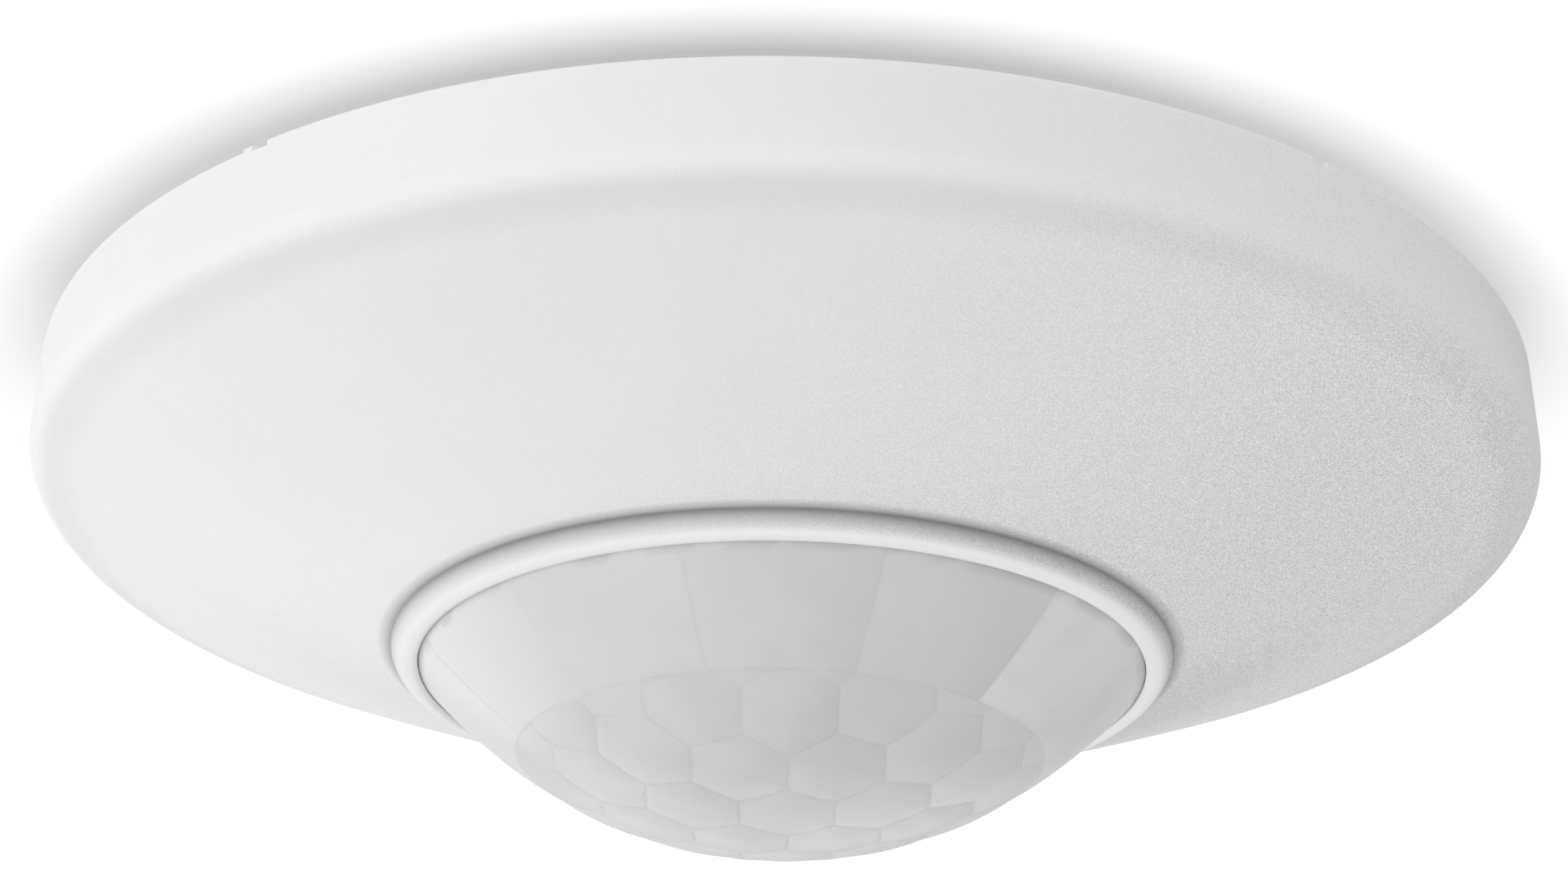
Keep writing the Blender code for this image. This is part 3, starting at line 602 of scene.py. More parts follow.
LOOKS = {
    "cover": cover_look(),
    "base": moulded("base_plastic", (0.79, 0.79, 0.785), 0.5, 0.4, 0.012),
    "lens": lens_look(),
    "grey": moulded("retainer_plastic", (0.58, 0.59, 0.6), 0.5, 0.3, 0.014, 0.05),
    "board": board_look(),
    "black": compound_look(),
    "spring": metal("spring_steel", (0.56, 0.56, 0.57), 0.28, (0.1, 1.0, 1.0)),
    "screw": metal("screw_steel", (0.66, 0.66, 0.68), 0.27),
    "nickel": metal("nickel_can", (0.72, 0.69, 0.62), 0.2, (1.0, 1.0, 0.1), 0.003),
    "can": metal("capacitor_can", (0.78, 0.79, 0.8), 0.3, (0.1, 1.0, 1.0)),
    "tin": metal("solder_tin", (0.75, 0.75, 0.76), 0.24),
    "terminal": moulded("terminal_plastic", (0.03, 0.24, 0.09), 0.42, 0.25, 0.01, 0.12),
    "relay": moulded("relay_plastic", (0.78, 0.77, 0.72), 0.35, 0.3, 0.006, 0.04),
    "blue": moulded("trimmer_plastic", (0.03, 0.13, 0.4), 0.36, 0.2, 0.008, 0.15),
    "cream": moulded("control_plastic", (0.82, 0.79, 0.7), 0.4, 0.15, 0.006, 0.05),
    "sleeve": Look("capacitor_sleeve", (0.02, 0.03, 0.07), 0.3).mottle(1.5, 0.3).grain(0.5, 0.01),
    "window": Look("filter_window", (0.05, 0.05, 0.07), 0.08, 0.4, Coat_Weight=0.6).mottle(1.2, 0.4),
    "led": Look("led_red", (0.55, 0.015, 0.015), 0.1, Transmission_Weight=0.55).mottle(1.0, 0.3),
    "foam": Look("gasket_foam", (0.10, 0.10, 0.11), 0.9).mottle(0.8, 0.5).grain(0.35, 0.12),
    "rubber": Look("grommet_rubber", (0.035, 0.035, 0.037), 0.6).mottle(3.0, 0.3).grain(0.18, 0.02),
    "trace": Look("trace_mask", (0.035, 0.21, 0.085), 0.3, Coat_Weight=0.3).mottle(4.0, 0.2),
    "ink": Look("board_ink", (0.72, 0.72, 0.69), 0.6).mottle(0.6, 0.15),
    "ceramic": Look("chip_ceramic", (0.42, 0.33, 0.22), 0.4).mottle(0.5, 0.2),
}


# ---- finishing


def coat(piece, look):
    """Gives a piece its only material."""
    piece.data.materials.clear()
    piece.data.materials.append(LOOKS[look].material)


def dress(piece, look, node="", body="base", angle=35.0):
    """Finishes a piece: its look, its body and the CAD node that it stands for."""
    shade(piece, angle)
    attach(piece, body)
    coat(piece, look)
    if node:
        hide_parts(node)


def on_board(name, shapes, look):
    dress(as_object(name, merge(shapes)), look)


def paint_node(node, look, width=0.12):
    """Finishes a CAD node that is shown as it is, with its sharp edges rounded."""
    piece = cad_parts[node]
    weld = piece.modifiers.new("weld", "WELD")
    weld.merge_threshold = 1e-6
    if width:
        soften(piece, width, 30.0)
    coat(piece, look)


# ---- cover


def dome_z(radius):
    """Height of the cover's outer dome at a radius: a cone with a slight bulge."""
    share = (RIM_RADIUS - radius) / (RIM_RADIUS - DOME_END_RADIUS)
    straight = DOME_START_Z + (DOME_END_Z - DOME_START_Z) * share
    return straight - 4 * DOME_BULGE * share * (1 - share)


def dome_points(first, last, count, lift=0.0):
    """Corners along the dome between two radii, raised by lift."""
    radii = [first + (last - first) * i / (count - 1) for i in range(count)]
    return [(r, dome_z(r) + lift, 0.0) for r in radii]


def lip_corners(count=14):
    """The lip's outer curve, a quarter ellipse from its side to its crest."""
    wide = LIP_RADIUS - LIP_CREST_RADIUS
    tall = LIP_START_Z - COVER_LOW.z
    turns = [polar(1.0, 90.0 * k / (count - 1)) for k in range(count)]
    return [(LIP_CREST_RADIUS + wide * x, LIP_START_Z - tall * y, 0.0) for x, y in turns]


def cover_outline():
    opening = LENS_RADIUS + 0.06
    outline = [(INNER_WALL, RIM_EDGE_Z, 0.15), (RIM_TOP_RADIUS, RIM_EDGE_Z, 0.25)]
    outline += [(RIM_RADIUS, DOME_START_Z, 2.1)]
    outline += dome_points(54.5, 32.6, 10)
    outline += [(DOME_END_RADIUS, DOME_END_Z, 0.1)]
    outline += lip_corners()
    outline += [(opening, COVER_LOW.z + 0.15, 0.1), (opening, SEAT_Z, 0.0)]
    outline += [(SEAT_RADIUS, SEAT_Z, 0.3)]
    outline += dome_points(36.0, 53.0, 6, DOME_WALL_Z)
    return outline + [(INNER_WALL, dome_z(INNER_WALL) + DOME_WALL_Z, 1.0)]


def make_cover():
    cover = turned("cover_shell", cover_outline(), ROUND)
    outer = RIM_RADIUS - 0.8
    catch = [(55.3, -3.8), (55.3, -4.9), (outer, -4.9), (outer, -3.4)]
    key = [(54.0, -3.0), (54.0, -5.0), (outer, -5.0), (outer, -3.0)]
    boss_top = RETAINER_HIGH.z - EAR_THICK - 0.3
    inside = [radial_prism(catch, 7.6, angle) for angle in SNAP_ANGLES]
    inside.append(radial_prism(key, 2.0, KEY_ANGLE))
    inside += [rod(2.6, boss_top, BOSS_ROOT_Z, spot, 40) for spot in EAR_SPOTS]
    inside.append(rod(2.8, TAMPER_LOW.z - 0.3, BOSS_ROOT_Z, TAMPER, 40))
    join(cover, *inside)
    notch_low = RIM_EDGE_Z - NOTCH_DEPTH
    notch = [(55.0, 1.0), (59.0, 1.0), (59.0, notch_low), (55.0, notch_low)]
    openings = [rod(1.2, boss_top + 1, -15.3, spot, 24) for spot in EAR_SPOTS]
    openings += [radial_prism(notch, NOTCH_WIDTH, angle) for angle in SNAP_ANGLES]
    cut(cover, *openings)
    relief_low = RIM_EDGE_Z - RELIEF_DEPTH
    wide = RIM_RADIUS + 2 - RELIEF_X
    places = [(side * (RELIEF_X + wide / 2), 0) for side in (-1, 1)]
    cut(cover, *[slab(wide, 120.0, 1.0, relief_low, place) for place in places])
    dress(cover, "cover", "front_cover", "cover", 40.0)


# ---- lens


def lens_point(x, y, rise=0.0):
    """The point of the lens's outer surface under (x, y), pushed out by rise."""
    radius = math.hypot(x, y)
    share = min(radius / LENS_RADIUS, 1.0)
    z = LENS_EDGE_Z - LENS_DEPTH * (1 - share**LENS_POWER)
    slope = LENS_DEPTH * LENS_POWER / LENS_RADIUS * share ** (LENS_POWER - 1)
    out = Vector((x, y, 0.0)).normalized() * slope if radius > 1e-6 else Vector()
    return Vector((x, y, z)) + Vector((out.x, out.y, -1.0)).normalized() * rise


def hexagons():
    """Corners of each pointed-top hexagon that meets the cap, row by row along x."""
    reach = CELL_PITCH / math.sqrt(3)
    cells = []
    for row in range(-4, 5):
        for column in range(-4, 5):
            x = (column + 0.5 * ((row + 1) % 2)) * CELL_PITCH + CELL_SHIFT_X
            y = row * CELL_PITCH * math.sqrt(3) / 2 + CELL_SHIFT_Y
            corners = [Vector((x, y)) + Vector(polar(reach, 30 + 60 * k)) for k in range(6)]
            corners = [Vector((round(c.x, 5), round(c.y, 5))) for c in corners]
            if min(c.length for c in corners) < CAP_RADIUS - 0.05:
                cells.append(corners)
    return cells


def crossing(a, b):
    """Where the edge from a to b crosses the cap's circle, or None."""
    if tuple(b) < tuple(a):
        a, b = b, a
    if (a.length < CAP_RADIUS) == (b.length < CAP_RADIUS):
        return None
    low, high = 0.0, 1.0
    for _ in range(40):
        mid = (low + high) / 2
        if (a.lerp(b, mid).length < CAP_RADIUS) == (a.length < CAP_RADIUS):
            low = mid
        else:
            high = mid
    return a.lerp(b, low)


def ring_angles(cells):
    """Angles of the points on the cap's circle: cell crossings, panel edges and even steps."""
    kept = []
    for corners in cells:
        for i, corner in enumerate(corners):
            spot = crossing(corners[i - 1], corner)
            if spot:
                kept.append(math.atan2(spot.y, spot.x) % math.tau)
    pitch = 360.0 / PANEL_COUNT
    width = math.degrees(GROOVE_WIDTH / CAP_RADIUS)
    for k in range(PANEL_COUNT):
        for side in (-1, -0.5, 0, 0.5, 1):
            kept.append(math.radians(PANEL_START + k * pitch + side * width) % math.tau)
    kept = sorted(set(round(a, 6) for a in kept))
    kept = [a for i, a in enumerate(kept) if i == 0 or a - kept[i - 1] > 2e-4]
    for k in range(120):
        angle = math.tau * k / 120
        gap = min(min(abs(angle - a), math.tau - abs(angle - a)) for a in kept)
        if gap > math.radians(1.2):
            kept.append(angle)
    return sorted(kept)


def inside_hexagon(spot, corners, slack=1e-4):
    sides = zip(corners[-1:] + corners[:-1], corners)
    return all((b - a).cross(spot - a) >= -slack for a, b in sides)


def cell_outline(corners, ring):
    """A hexagon's outline inside the cap, with its straight sides divided, and its middle."""
    points = [spot for spot in ring if inside_hexagon(spot, corners)]
    for i, corner in enumerate(corners):
        a, b = corners[i - 1], corner
        spot = crossing(a, b)
        ends = [p for p in (a, b) if p.length < CAP_RADIUS]
        if spot:
            ends.append(min(ring, key=lambda other: (other - spot).length))
        if len(ends) < 2:
            continue
        start, end = sorted(ends, key=tuple)
        count = max(1, round((end - start).length / 0.8))
        points += [start.lerp(end, k / count) for k in range(count + 1)]
    distinct = []
    for point in points:
        if all((point - other).length > 1e-3 for other in distinct):
            distinct.append(point)
    middle = sum(distinct, Vector((0.0, 0.0))) / len(distinct)
    distinct.sort(key=lambda p: math.atan2(p.y - middle.y, p.x - middle.x))
    return distinct, middle


class Skin:
    """The faceted outer face: its points, their groove and cell middle, and its faces, each with a
    value of random variation and painted light.
    """

    def __init__(self):
        self.points, self.marks, self.faces = [], [], []

    def point(self, x, y, rise, groove, middle):
        self.points.append(lens_point(x, y, rise))
        self.marks.append((groove, middle))
        return len(self.points) - 1

    def strip(self, first, second, tones_and_light):
        """A closed strip of faces between two rings of points, with one value of random variation and
        painted light for each face.
        """
        for i, tone_and_light in enumerate(tones_and_light):
            j = (i + 1) % len(first)
            self.faces.append(([first[i], first[j], second[j], second[i]], tone_and_light))

    def mesh(self):
        bm = bmesh.new()
        groove = bm.verts.layers.float.new("groove")
        middle = bm.verts.layers.float_vector.new("middle")
        tone_and_light = bm.faces.layers.float.new("tone_and_light")
        verts = []
        for point, (depth, centre) in zip(self.points, self.marks):
            vert = bm.verts.new(point)
            vert[groove] = depth
            vert[middle] = lens_point(centre.x, centre.y) * MM
            verts.append(vert)
        for corners, share in self.faces:
            face = bm.faces.new([verts[i] for i in corners])
            face[tone_and_light] = share
        bmesh.ops.remove_doubles(bm, verts=bm.verts, dist=0.012)
        return bm


def pillow(skin, outline, middle, tone_and_light):
    """Adds one cell: a groove along its outline, then rings that rise to its middle."""
    inner = min((p - middle).length for p in outline)
    for i, point in enumerate(outline):
        side = point - outline[i - 1]
        if side.length > 1e-6:
            inner = min(inner, abs(side.normalized().cross(middle - point)))
    edge = max(0.87, 1 - GROOVE_WIDTH / max(inner, 0.01))
    full = CELL_HEIGHT * min(1.0, inner / (CELL_PITCH / 2))
    weight = min(1.0, max(0.0, inner - 0.5) / 2.5)
    last = None
    for scale in (1.0, (1 + edge) / 2, edge, 0.72, 0.48, 0.24):
        groove = weight if scale == 1.0 else 0.45 * weight if scale > edge else 0.0
        rise = full * (1 - scale * scale) - GROOVE_SINK * groove
        spots = [middle.lerp(p, scale) for p in outline]
        ring = [skin.point(spot.x, spot.y, rise, groove, middle) for spot in spots]
        if last:
            skin.strip(last, ring, [tone_and_light] * len(ring))
        last = ring
    top = skin.point(middle.x, middle.y, full, 0.0, middle)
    for i in range(len(last)):
        skin.faces.append(([last[i], last[(i + 1) % len(last)], top], tone_and_light))


def panel_light(right):
    """Painted light on a panel: most on the right, a little on the left, least in front."""
    if right > 0:
        return 0.06 + 0.64 * min(1.0, (right / 0.85) ** 3)
    return 0.06 + 0.2 * -right


def band(skin, angles, rng):
    """Adds the ring of tall panels between the cap and the lens's edge."""
    pitch = math.tau / PANEL_COUNT
    start = math.radians(PANEL_START)
    middles = [start + (k + 0.5) * pitch for k in range(PANEL_COUNT)]
    # Each panel's painted light, plus a little random variation.
    tones_and_light = [panel_light(math.cos(a)) + 0.04 * rng.random() for a in middles]
    width = LENS_RADIUS - CAP_RADIUS
    middles = [Vector((math.cos(a), math.sin(a))) * (CAP_RADIUS + width / 2) for a in middles]
    steps = [0.0, 0.5 * GROOVE_WIDTH / width, GROOVE_WIDTH / width]
    steps += [0.12, 0.25, 0.4, 0.55, 0.7, 0.82, 0.92, 1.0]
    last = None
    for share in steps:
        radius = CAP_RADIUS + width * share
        fade = min(1.0, (1 - share) * 6)
        row = []
        for angle in angles:
            turn = ((angle - start) % pitch) / pitch
            side = min(turn, 1 - turn) * pitch * CAP_RADIUS
            groove = max(0.0, 1 - side / GROOVE_WIDTH, 1 - share * width / GROOVE_WIDTH)
            across = 1 - (2 * turn - 1) ** 2
            rise = PANEL_HEIGHT * across * math.sin(math.pi * share**0.7)
            rise = (rise - GROOVE_SINK * groove * fade) * fade
            middle = middles[int(((angle - start) % math.tau) / pitch)]
            x, y = radius * math.cos(angle), radius * math.sin(angle)
            row.append(skin.point(x, y, rise, groove * fade, middle))
        if last:
            skin.strip(last, row, face_tones_and_light(angles, start, pitch, tones_and_light))
        last = row


def face_tones_and_light(angles, start, pitch, tones_and_light):
    """The random variation and painted light of the panel that each step from one angle to the next
    belongs to.
    """
    found = []
    for i, angle in enumerate(angles):
        step = (angles[(i + 1) % len(angles)] - angle) % math.tau
        found.append(tones_and_light[int(((angle + step / 2 - start) % math.tau) / pitch)])
    return found


def make_lens():
    rng = random.Random(11)
    cells = hexagons()
    angles = ring_angles(cells)
    ring = [Vector((CAP_RADIUS * math.cos(a), CAP_RADIUS * math.sin(a))) for a in angles]
    skin = Skin()
    for corners in cells:
        outline, middle = cell_outline(corners, ring)
        if len(outline) > 2:
            # A little random variation, plus painted light that lightens cells towards the right.
            tone_and_light = 0.06 * rng.random() + 0.55 * max(0.0, middle.x / CAP_RADIUS) ** 1.6
            pillow(skin, outline, middle, tone_and_light)
    band(skin, angles, rng)
    back = lathe(back_outline(), angles)
    drop = []
    for face in back.faces:
        if all(abs(v.co.z - LENS_EDGE_Z) < 1e-4 or v.co.length < 1e-4 for v in face.verts):
            drop.append(face)
    bmesh.ops.delete(back, geom=drop, context="FACES")
    lens = as_object("lens_facets", merge([skin.mesh(), back]))
    close_seams(lens)
    dress(lens, "lens", "fresnel_lens", "cover", 50.0)


def back_outline():
    """The lens behind its outer face: the edge wall, the flange and the inner dome."""
    low = SEAT_Z + 0.3
    wall = LENS_RADIUS - LENS_WALL
    outline = [(0.0, LENS_EDGE_Z), (LENS_RADIUS, LENS_EDGE_Z), (LENS_RADIUS, low), (LENS_HIGH.x, low)]
    outline += [(LENS_HIGH.x, low + FLANGE), (wall, low + FLANGE), (wall, LENS_EDGE_Z + 1.2)]
    radii = [LENS_RADIUS * k / 14 for k in reversed(range(13))]
    return outline + [(r, lens_point(r, 0.0).z + LENS_WALL) for r in radii]


def close_seams(piece):
    """Welds the outer face to the edge wall and turns all faces outwards."""
    bm = bmesh.new()
    bm.from_mesh(piece.data)
    bmesh.ops.remove_doubles(bm, verts=bm.verts, dist=0.02 * MM)
    bmesh.ops.dissolve_degenerate(bm, edges=bm.edges, dist=0.001 * MM)
    bmesh.ops.recalc_face_normals(bm, faces=bm.faces)
    bm.to_mesh(piece.data)
    bm.free()


# ---- inside the cover


def make_retainer():
    inner, outer, ring_top = 27.6, 32.4, -14.0
    outline = [(inner, RETAINER_LOW.z, 0.2), (outer, RETAINER_LOW.z, 0.2)]
    outline += [(outer, ring_top, 0.5), (inner, ring_top, 0.5)]
    ring = turned("retainer_ring", outline, 128)
    top = RETAINER_HIGH.z
    under, root, end = top - EAR_THICK, ring_top - 0.6, EAR_RADIUS + 3.0
    ear = [(31.0, root), (32.3, root), (32.3, under), (end, under), (end, top), (31.0, top)]
    join(ring, *[radial_prism(ear, EAR_WIDTH, angle) for angle in EAR_ANGLES])
    cut(ring, *[rod(1.25, top + 1, under - 0.5, spot, 32) for spot in EAR_SPOTS])
    soften(ring, 0.2)
    dress(ring, "grey", "lens_retainer", "cover")
    for number in range(1, len(EAR_SPOTS) + 1):
        pan_screw(f"retainer_screw_{number}", "cover", 1.9, 0.95, top + 0.1, True)


def cross_points(at, arm, half):
    """Outline of a cross whose arms reach arm and are twice half wide."""
    quarter = [(arm, -half), (arm, half), (half, half)]
    return [placed(at, x, y, 90 * k) for k in range(4) for x, y in quarter]


def pan_screw(node, body, head, shank, near, points_up):
    """A pan head screw with a cross recess and rings of thread; its head starts at near."""
    low, high, at = space(node)
    far, tip = (high.z, low.z) if points_up else (low.z, high.z)
    way = math.copysign(1.0, far - near)
    tall = abs(far - near)
    steps = 2 * max(2, round(abs(near - tip) / 0.5))
    outline = [(0, tip), (0.5 * shank, tip)]
    for k in range(1, steps):
        outline.append((shank * (0.8 if k % 2 else 1.0), tip + (near - tip) * k / steps))
    outline += [(shank * 0.8, near), (head - 0.1, near), (head, near + 0.1 * way)]
    for k in range(7):
        x, y = polar(1.0, 15 * k)
        outline.append((0.45 * head + 0.55 * head * x, far + way * (y - 1) * tall * 0.6))
    outline.append((0, far))
    screw = as_object(node + "_steel", lathe(outline, 40, at))
    top, bottom = sorted((far + way, far - way * 0.55 * tall), reverse=True)
    cut(screw, prism(cross_points(at, 0.56 * head, 0.15 * head), top, bottom))
    soften(screw, 0.05)
    dress(screw, "screw", node, body)


# ---- base


def base_outline():
    radius = BASE_HIGH.x
    wall = radius - 1.8
    outline = [(47.5, 0, 0.2), (47.5, -GASKET_DEPTH, 0), (51.5, -GASKET_DEPTH, 0)]
    outline += [(51.5, 0, 0.2), (radius, 0, 0.35), (radius, BASE_LOW.z, 0.3)]
    return to_axis(outline + [(wall, BASE_LOW.z, 0.3), (wall, -FLOOR, 0.5)])


def recess_sectors():
    """Six hollows in the back face, with ribs left between them."""
    inner_half = math.degrees(RIB_WIDTH / 2 / HUB_RADIUS)
    outer_half = math.degrees(RIB_WIDTH / 2 / RECESS_RADIUS)
    outer_span = 60 - 2 * outer_half
    inner_span = 60 - 2 * inner_half
    sectors = []
    for start in range(0, 360, 60):
        end = start + 60
        points = [polar(RECESS_RADIUS, start + outer_half + outer_span * i / 12) for i in range(13)]
        points += [polar(HUB_RADIUS, end - inner_half - inner_span * i / 6) for i in range(7)]
        sectors.append(prism(points, 1.0, -GASKET_DEPTH))
    return sectors


def slot_points(at, steps=15):
    """Outline of a round-ended slot that runs along x."""
    points = []
    for side in (1, -1):
        for k in range(steps + 1):
            x, y = polar(SLOT_WIDTH / 2, -90 * side + 180 * k / steps)
            points.append((at + side * (SLOT_LENGTH - SLOT_WIDTH) / 2 + x, y))
    return points


def make_base():
    base = turned("base_shell", base_outline(), ROUND)
    slots = (-SLOT_CENTRE, SLOT_CENTRE)
    root = 0.5 - FLOOR
    post_low = BOARD_HIGH.z + CLEAR
    extras = [rod(2.9, root, post_low, spot) for spot in SCREW_SPOTS]
    for angle in SNAP_ANGLES:
        extras.append(rod(1.0, root, -FLOOR - 1.9, polar(PEG_RADIUS, angle), 32, 0.7))
    for middle in slots:
        rim = [(middle + (x - middle) * 1.25, y * 1.4) for x, y in slot_points(middle)]
        extras.append(prism(rim, root, -FLOOR - 0.5))
    join(base, *extras)
    cuts = recess_sectors()
    cuts.append(rod(CABLE_RADIUS, 1.0, -FLOOR - 1, CABLE_SPOT))
    cuts += [prism(slot_points(middle), 1.0, -FLOOR - 1) for middle in slots]
    cuts += [rod(1.4, -1.4, post_low - 1, spot, 32) for spot in SCREW_SPOTS]
    cut(base, *cuts)
    window = [(52.5, 0.1 - FLOOR), (57.0, 0.1 - FLOOR), (57.0, -9.0), (52.5, -9.0)]
    windows = [radial_prism(window, 8.2, angle) for angle in SNAP_ANGLES]
    windows.append(radial_prism(window, 2.6, KEY_ANGLE))
    cut(base, rod(COUNTERBORE_RADIUS, 1.0, -GASKET_DEPTH, CABLE_SPOT), *windows)
    dress(base, "base", "base_plate")


def make_seals():
    ring = [(47.8, -0.05, 0.3), (51.2, -0.05, 0.3), (51.2, -0.9, 0), (47.8, -0.9, 0)]
    dress(turned("gasket_ring", ring, ROUND), "foam", "ceiling_gasket")
    neck = CABLE_RADIUS - 0.2
    flange = COUNTERBORE_RADIUS - CLEAR
    front = -FLOOR - CLEAR
    outline = [(CABLE_BORE, -1.5, 0.2), (4.4, -1.5, 0), (4.8, -1.15, 0), (5.4, -1.5, 0)]
    outline += [(6.2, -1.5, 0.2), (6.2, -0.1, 0.2), (flange, -0.1, 0.3), (flange, -0.9, 0)]
    outline += [(neck, -0.9, 0), (neck, front, 0), (flange - 0.6, front, 0.2)]
    outline += [(flange - 0.9, front - 0.9, 0.3), (6.0, front - 1.1, 0.3)]
    outline += [(5.0, -2.1, 0.2), (CABLE_BORE, -2.1, 0.2)]
    dress(turned("grommet_ring", outline, SOFT, CABLE_SPOT), "rubber", "cable_grommet")


# ---- board


def make_board():
    plate = as_object("board_plate", rod(BOARD_HIGH.x, BOARD_HIGH.z, FACE, turns=ROUND))
    above, below = BOARD_HIGH.z + 1, FACE - 1
    cuts = [slab(24.0, 20.0, above, below, (0, 38.0))]
    cuts += [rod(7.5, above, below, (side * (SLOT_CENTRE + 0.4), 0)) for side in (-1, 1)]
    cuts += [rod(1.5, above, below, spot, 32) for spot in SCREW_SPOTS]
    cut(plate, *cuts)
    soften(plate, 0.08, segments=1)
    dress(plate, "board", "circuit_board")
    for number in range(1, len(SCREW_SPOTS) + 1):
        pan_screw(f"board_screw_{number}", "base", 2.4, 1.2, FACE - 0.1, False)


def track(start, end, width=0.3):
    """A copper track: a run at 45 degrees, then a straight run, with round corners."""
    low = FACE - COPPER
    dx, dy = end[0] - start[0], end[1] - start[1]
    run = min(abs(dx), abs(dy))
    elbow = (start[0] + math.copysign(run, dx), start[1] + math.copysign(run, dy))
    shapes = []
    for a, b in ((start, elbow), (elbow, end)):
        length = math.dist(a, b)
        if length > 0.01:
            middle = ((a[0] + b[0]) / 2, (a[1] + b[1]) / 2)
            turn = math.degrees(math.atan2(b[1] - a[1], b[0] - a[0]))
            shapes.append(slab(length, width, FACE, low, middle, turn))
    return shapes + [rod(width / 2, FACE, low, spot, 10) for spot in (start, elbow, end)]


def ink_line(wide, long, at, top=FACE, turn=0.0):
    return slab(wide, long, top, top - INK, at, turn)


def frame_lines(node, gap=0.5, width=0.18):
    """A printed outline round a node's footprint."""
    low, high, middle = space(node)
    across = high.x - low.x + 2 * gap + width
    along = high.y - low.y + 2 * gap + width
    lines = [ink_line(across, width, (middle.x, y)) for y in (low.y - gap, high.y + gap)]
    return lines + [ink_line(width, along, (x, middle.y)) for x in (low.x - gap, high.x + gap)]


def leg_spots(node, side, count, pitch):
    """Where each leg leaves a chip's side; side is its angle in degrees."""
    low, high, centre = space(node)
    half = (high.x - low.x) / 2 if side % 180 == 0 else (high.y - low.y) / 2
    return [placed(centre, half, pitch * (k - (count - 1) / 2), side) for k in range(count)]


CHIP_LEGS = (
    ("microcontroller", (0, 90, 180, 270), 8, 0.8, 0.34),
    ("amplifier_chip", (90, 270), 7, 1.27, 0.42),
    ("voltage_regulator", (270,), 3, 2.3, 0.72),
    ("voltage_regulator", (90,), 1, 2.3, 3.0),
)


def make_chip_legs():
    """Gull-wing legs on pads, each with a track that ends in a plated hole."""
    legs, pads, tracks = [], [], []
    foot = FACE - PAD
    for node, sides, count, pitch, width in CHIP_LEGS:
        middle = space(node)[2].z
        section = [(-0.2, middle - 0.07), (0.32, middle - 0.07), (0.6, foot - 0.14)]
        section += [(1.1, foot - 0.14), (1.1, foot), (0.5, foot), (0.22, middle + 0.07)]
        section += [(-0.2, middle + 0.07)]
        for side in sides:
            for k, spot in enumerate(leg_spots(node, side, count, pitch)):
                legs.append(radial_prism(section, width, side, spot))
                pad_at = placed(spot, 0.9, 0, side)
                end = placed(spot, 2.0 + 0.7 * (k % 3), 0, side)
                pads.append(slab(1.1, width * 1.2, FACE, foot, pad_at, side))
                pads.append(tube(0.16, 0.36, FACE, foot, end))
                tracks += track(pad_at, end, 0.18)
    on_board("chip_legs", legs, "tin")
    on_board("chip_pads", pads, "tin")
    on_board("chip_tracks", tracks, "trace")


SMALL_PARTS = (
    ("microcontroller", 0, 4.6, 4, 2.2),
    ("microcontroller", 90, 4.4, 4, 2.2),
    ("amplifier_chip", 270, 4.4, 5, 2.2),
    ("amplifier_chip", 90, 4.4, 4, 2.2),
    ("amplifier_chip", 180, 2.6, 3, 2.2),
    ("voltage_regulator", 270, 4.0, 3, 2.2),
    ("voltage_regulator", 0, 2.6, 2, 2.2),
    ("terminal_block", 270, 2.6, 7, 2.6),
    ("alarm_relay", 180, 2.6, 5, 2.4),
    ("pyro_spacer", 180, 2.2, 4, 2.2),
    ("pyro_spacer", 0, 2.2, 3, 2.2),
    ("dip_switch", 90, 3.0, 4, 2.54),
)


def make_small_parts():
    """Resistors and ceramic capacitors in rows beside the larger parts."""
    dark, tan, ends, pads, ink = [], [], [], [], []
    foot = FACE - PAD
    for number, (node, side, gap, count, pitch) in enumerate(SMALL_PARTS):
        for k, spot in enumerate(leg_spots(node, side, count, pitch)):
            at = placed(spot, gap, 0, side)
            is_resistor = (number + k) % 2 == 0
            height = 0.5 if is_resistor else 0.85
            body = slab(1.3, 1.2, foot - 0.03, foot - height, at, side)
            (dark if is_resistor else tan).append(body)
            fillet = [(0.2, foot), (0.75, foot), (0.22, foot - 0.6 * height)]
            for way, turn in ((-1, side + 180), (1, side)):
                end_at = placed(at, 0.8 * way, 0, side)
                ends.append(slab(0.42, 1.26, foot, foot - height - 0.03, end_at, side))
                ends.append(radial_prism(fillet, 1.2, turn, end_at))
                pads.append(slab(1.1, 1.4, FACE, foot, placed(at, way, 0, side), side))
                ink.append(ink_line(1.6, 0.14, placed(at, 0, 0.95 * way, side), FACE, side))
    on_board("resistor_bodies", dark, "black")
    on_board("ceramic_bodies", tan, "ceramic")
    on_board("part_ends", ends, "tin")
    on_board("part_pads", pads, "tin")
    on_board("part_marks", ink, "ink")


OUTLINED = ("alarm_relay", "amplifier_chip", "dip_switch", "hold_time_trimmer")
OUTLINED += ("microcontroller", "sensitivity_trimmer", "terminal_block", "voltage_regulator")
RINGED = ("pyro_spacer", "reservoir_capacitor", "filter_capacitor", "walk_test_led")
LINKS = (
    ("dip_switch", 90, "microcontroller", 270, 4, 0.3),
    ("sensitivity_trimmer", 90, "amplifier_chip", 270, 3, 0.3),
    ("hold_time_trimmer", 90, "microcontroller", 0, 3, 0.3),
    ("pyro_spacer", 270, "amplifier_chip", 90, 3, 0.3),
    ("reservoir_capacitor", 270, "voltage_regulator", 90, 2, 1.2),
    ("tamper_switch", 270, "filter_capacitor", 0, 2, 0.4),
    ("walk_test_led", 270, "microcontroller", 90, 2, 0.3),
)


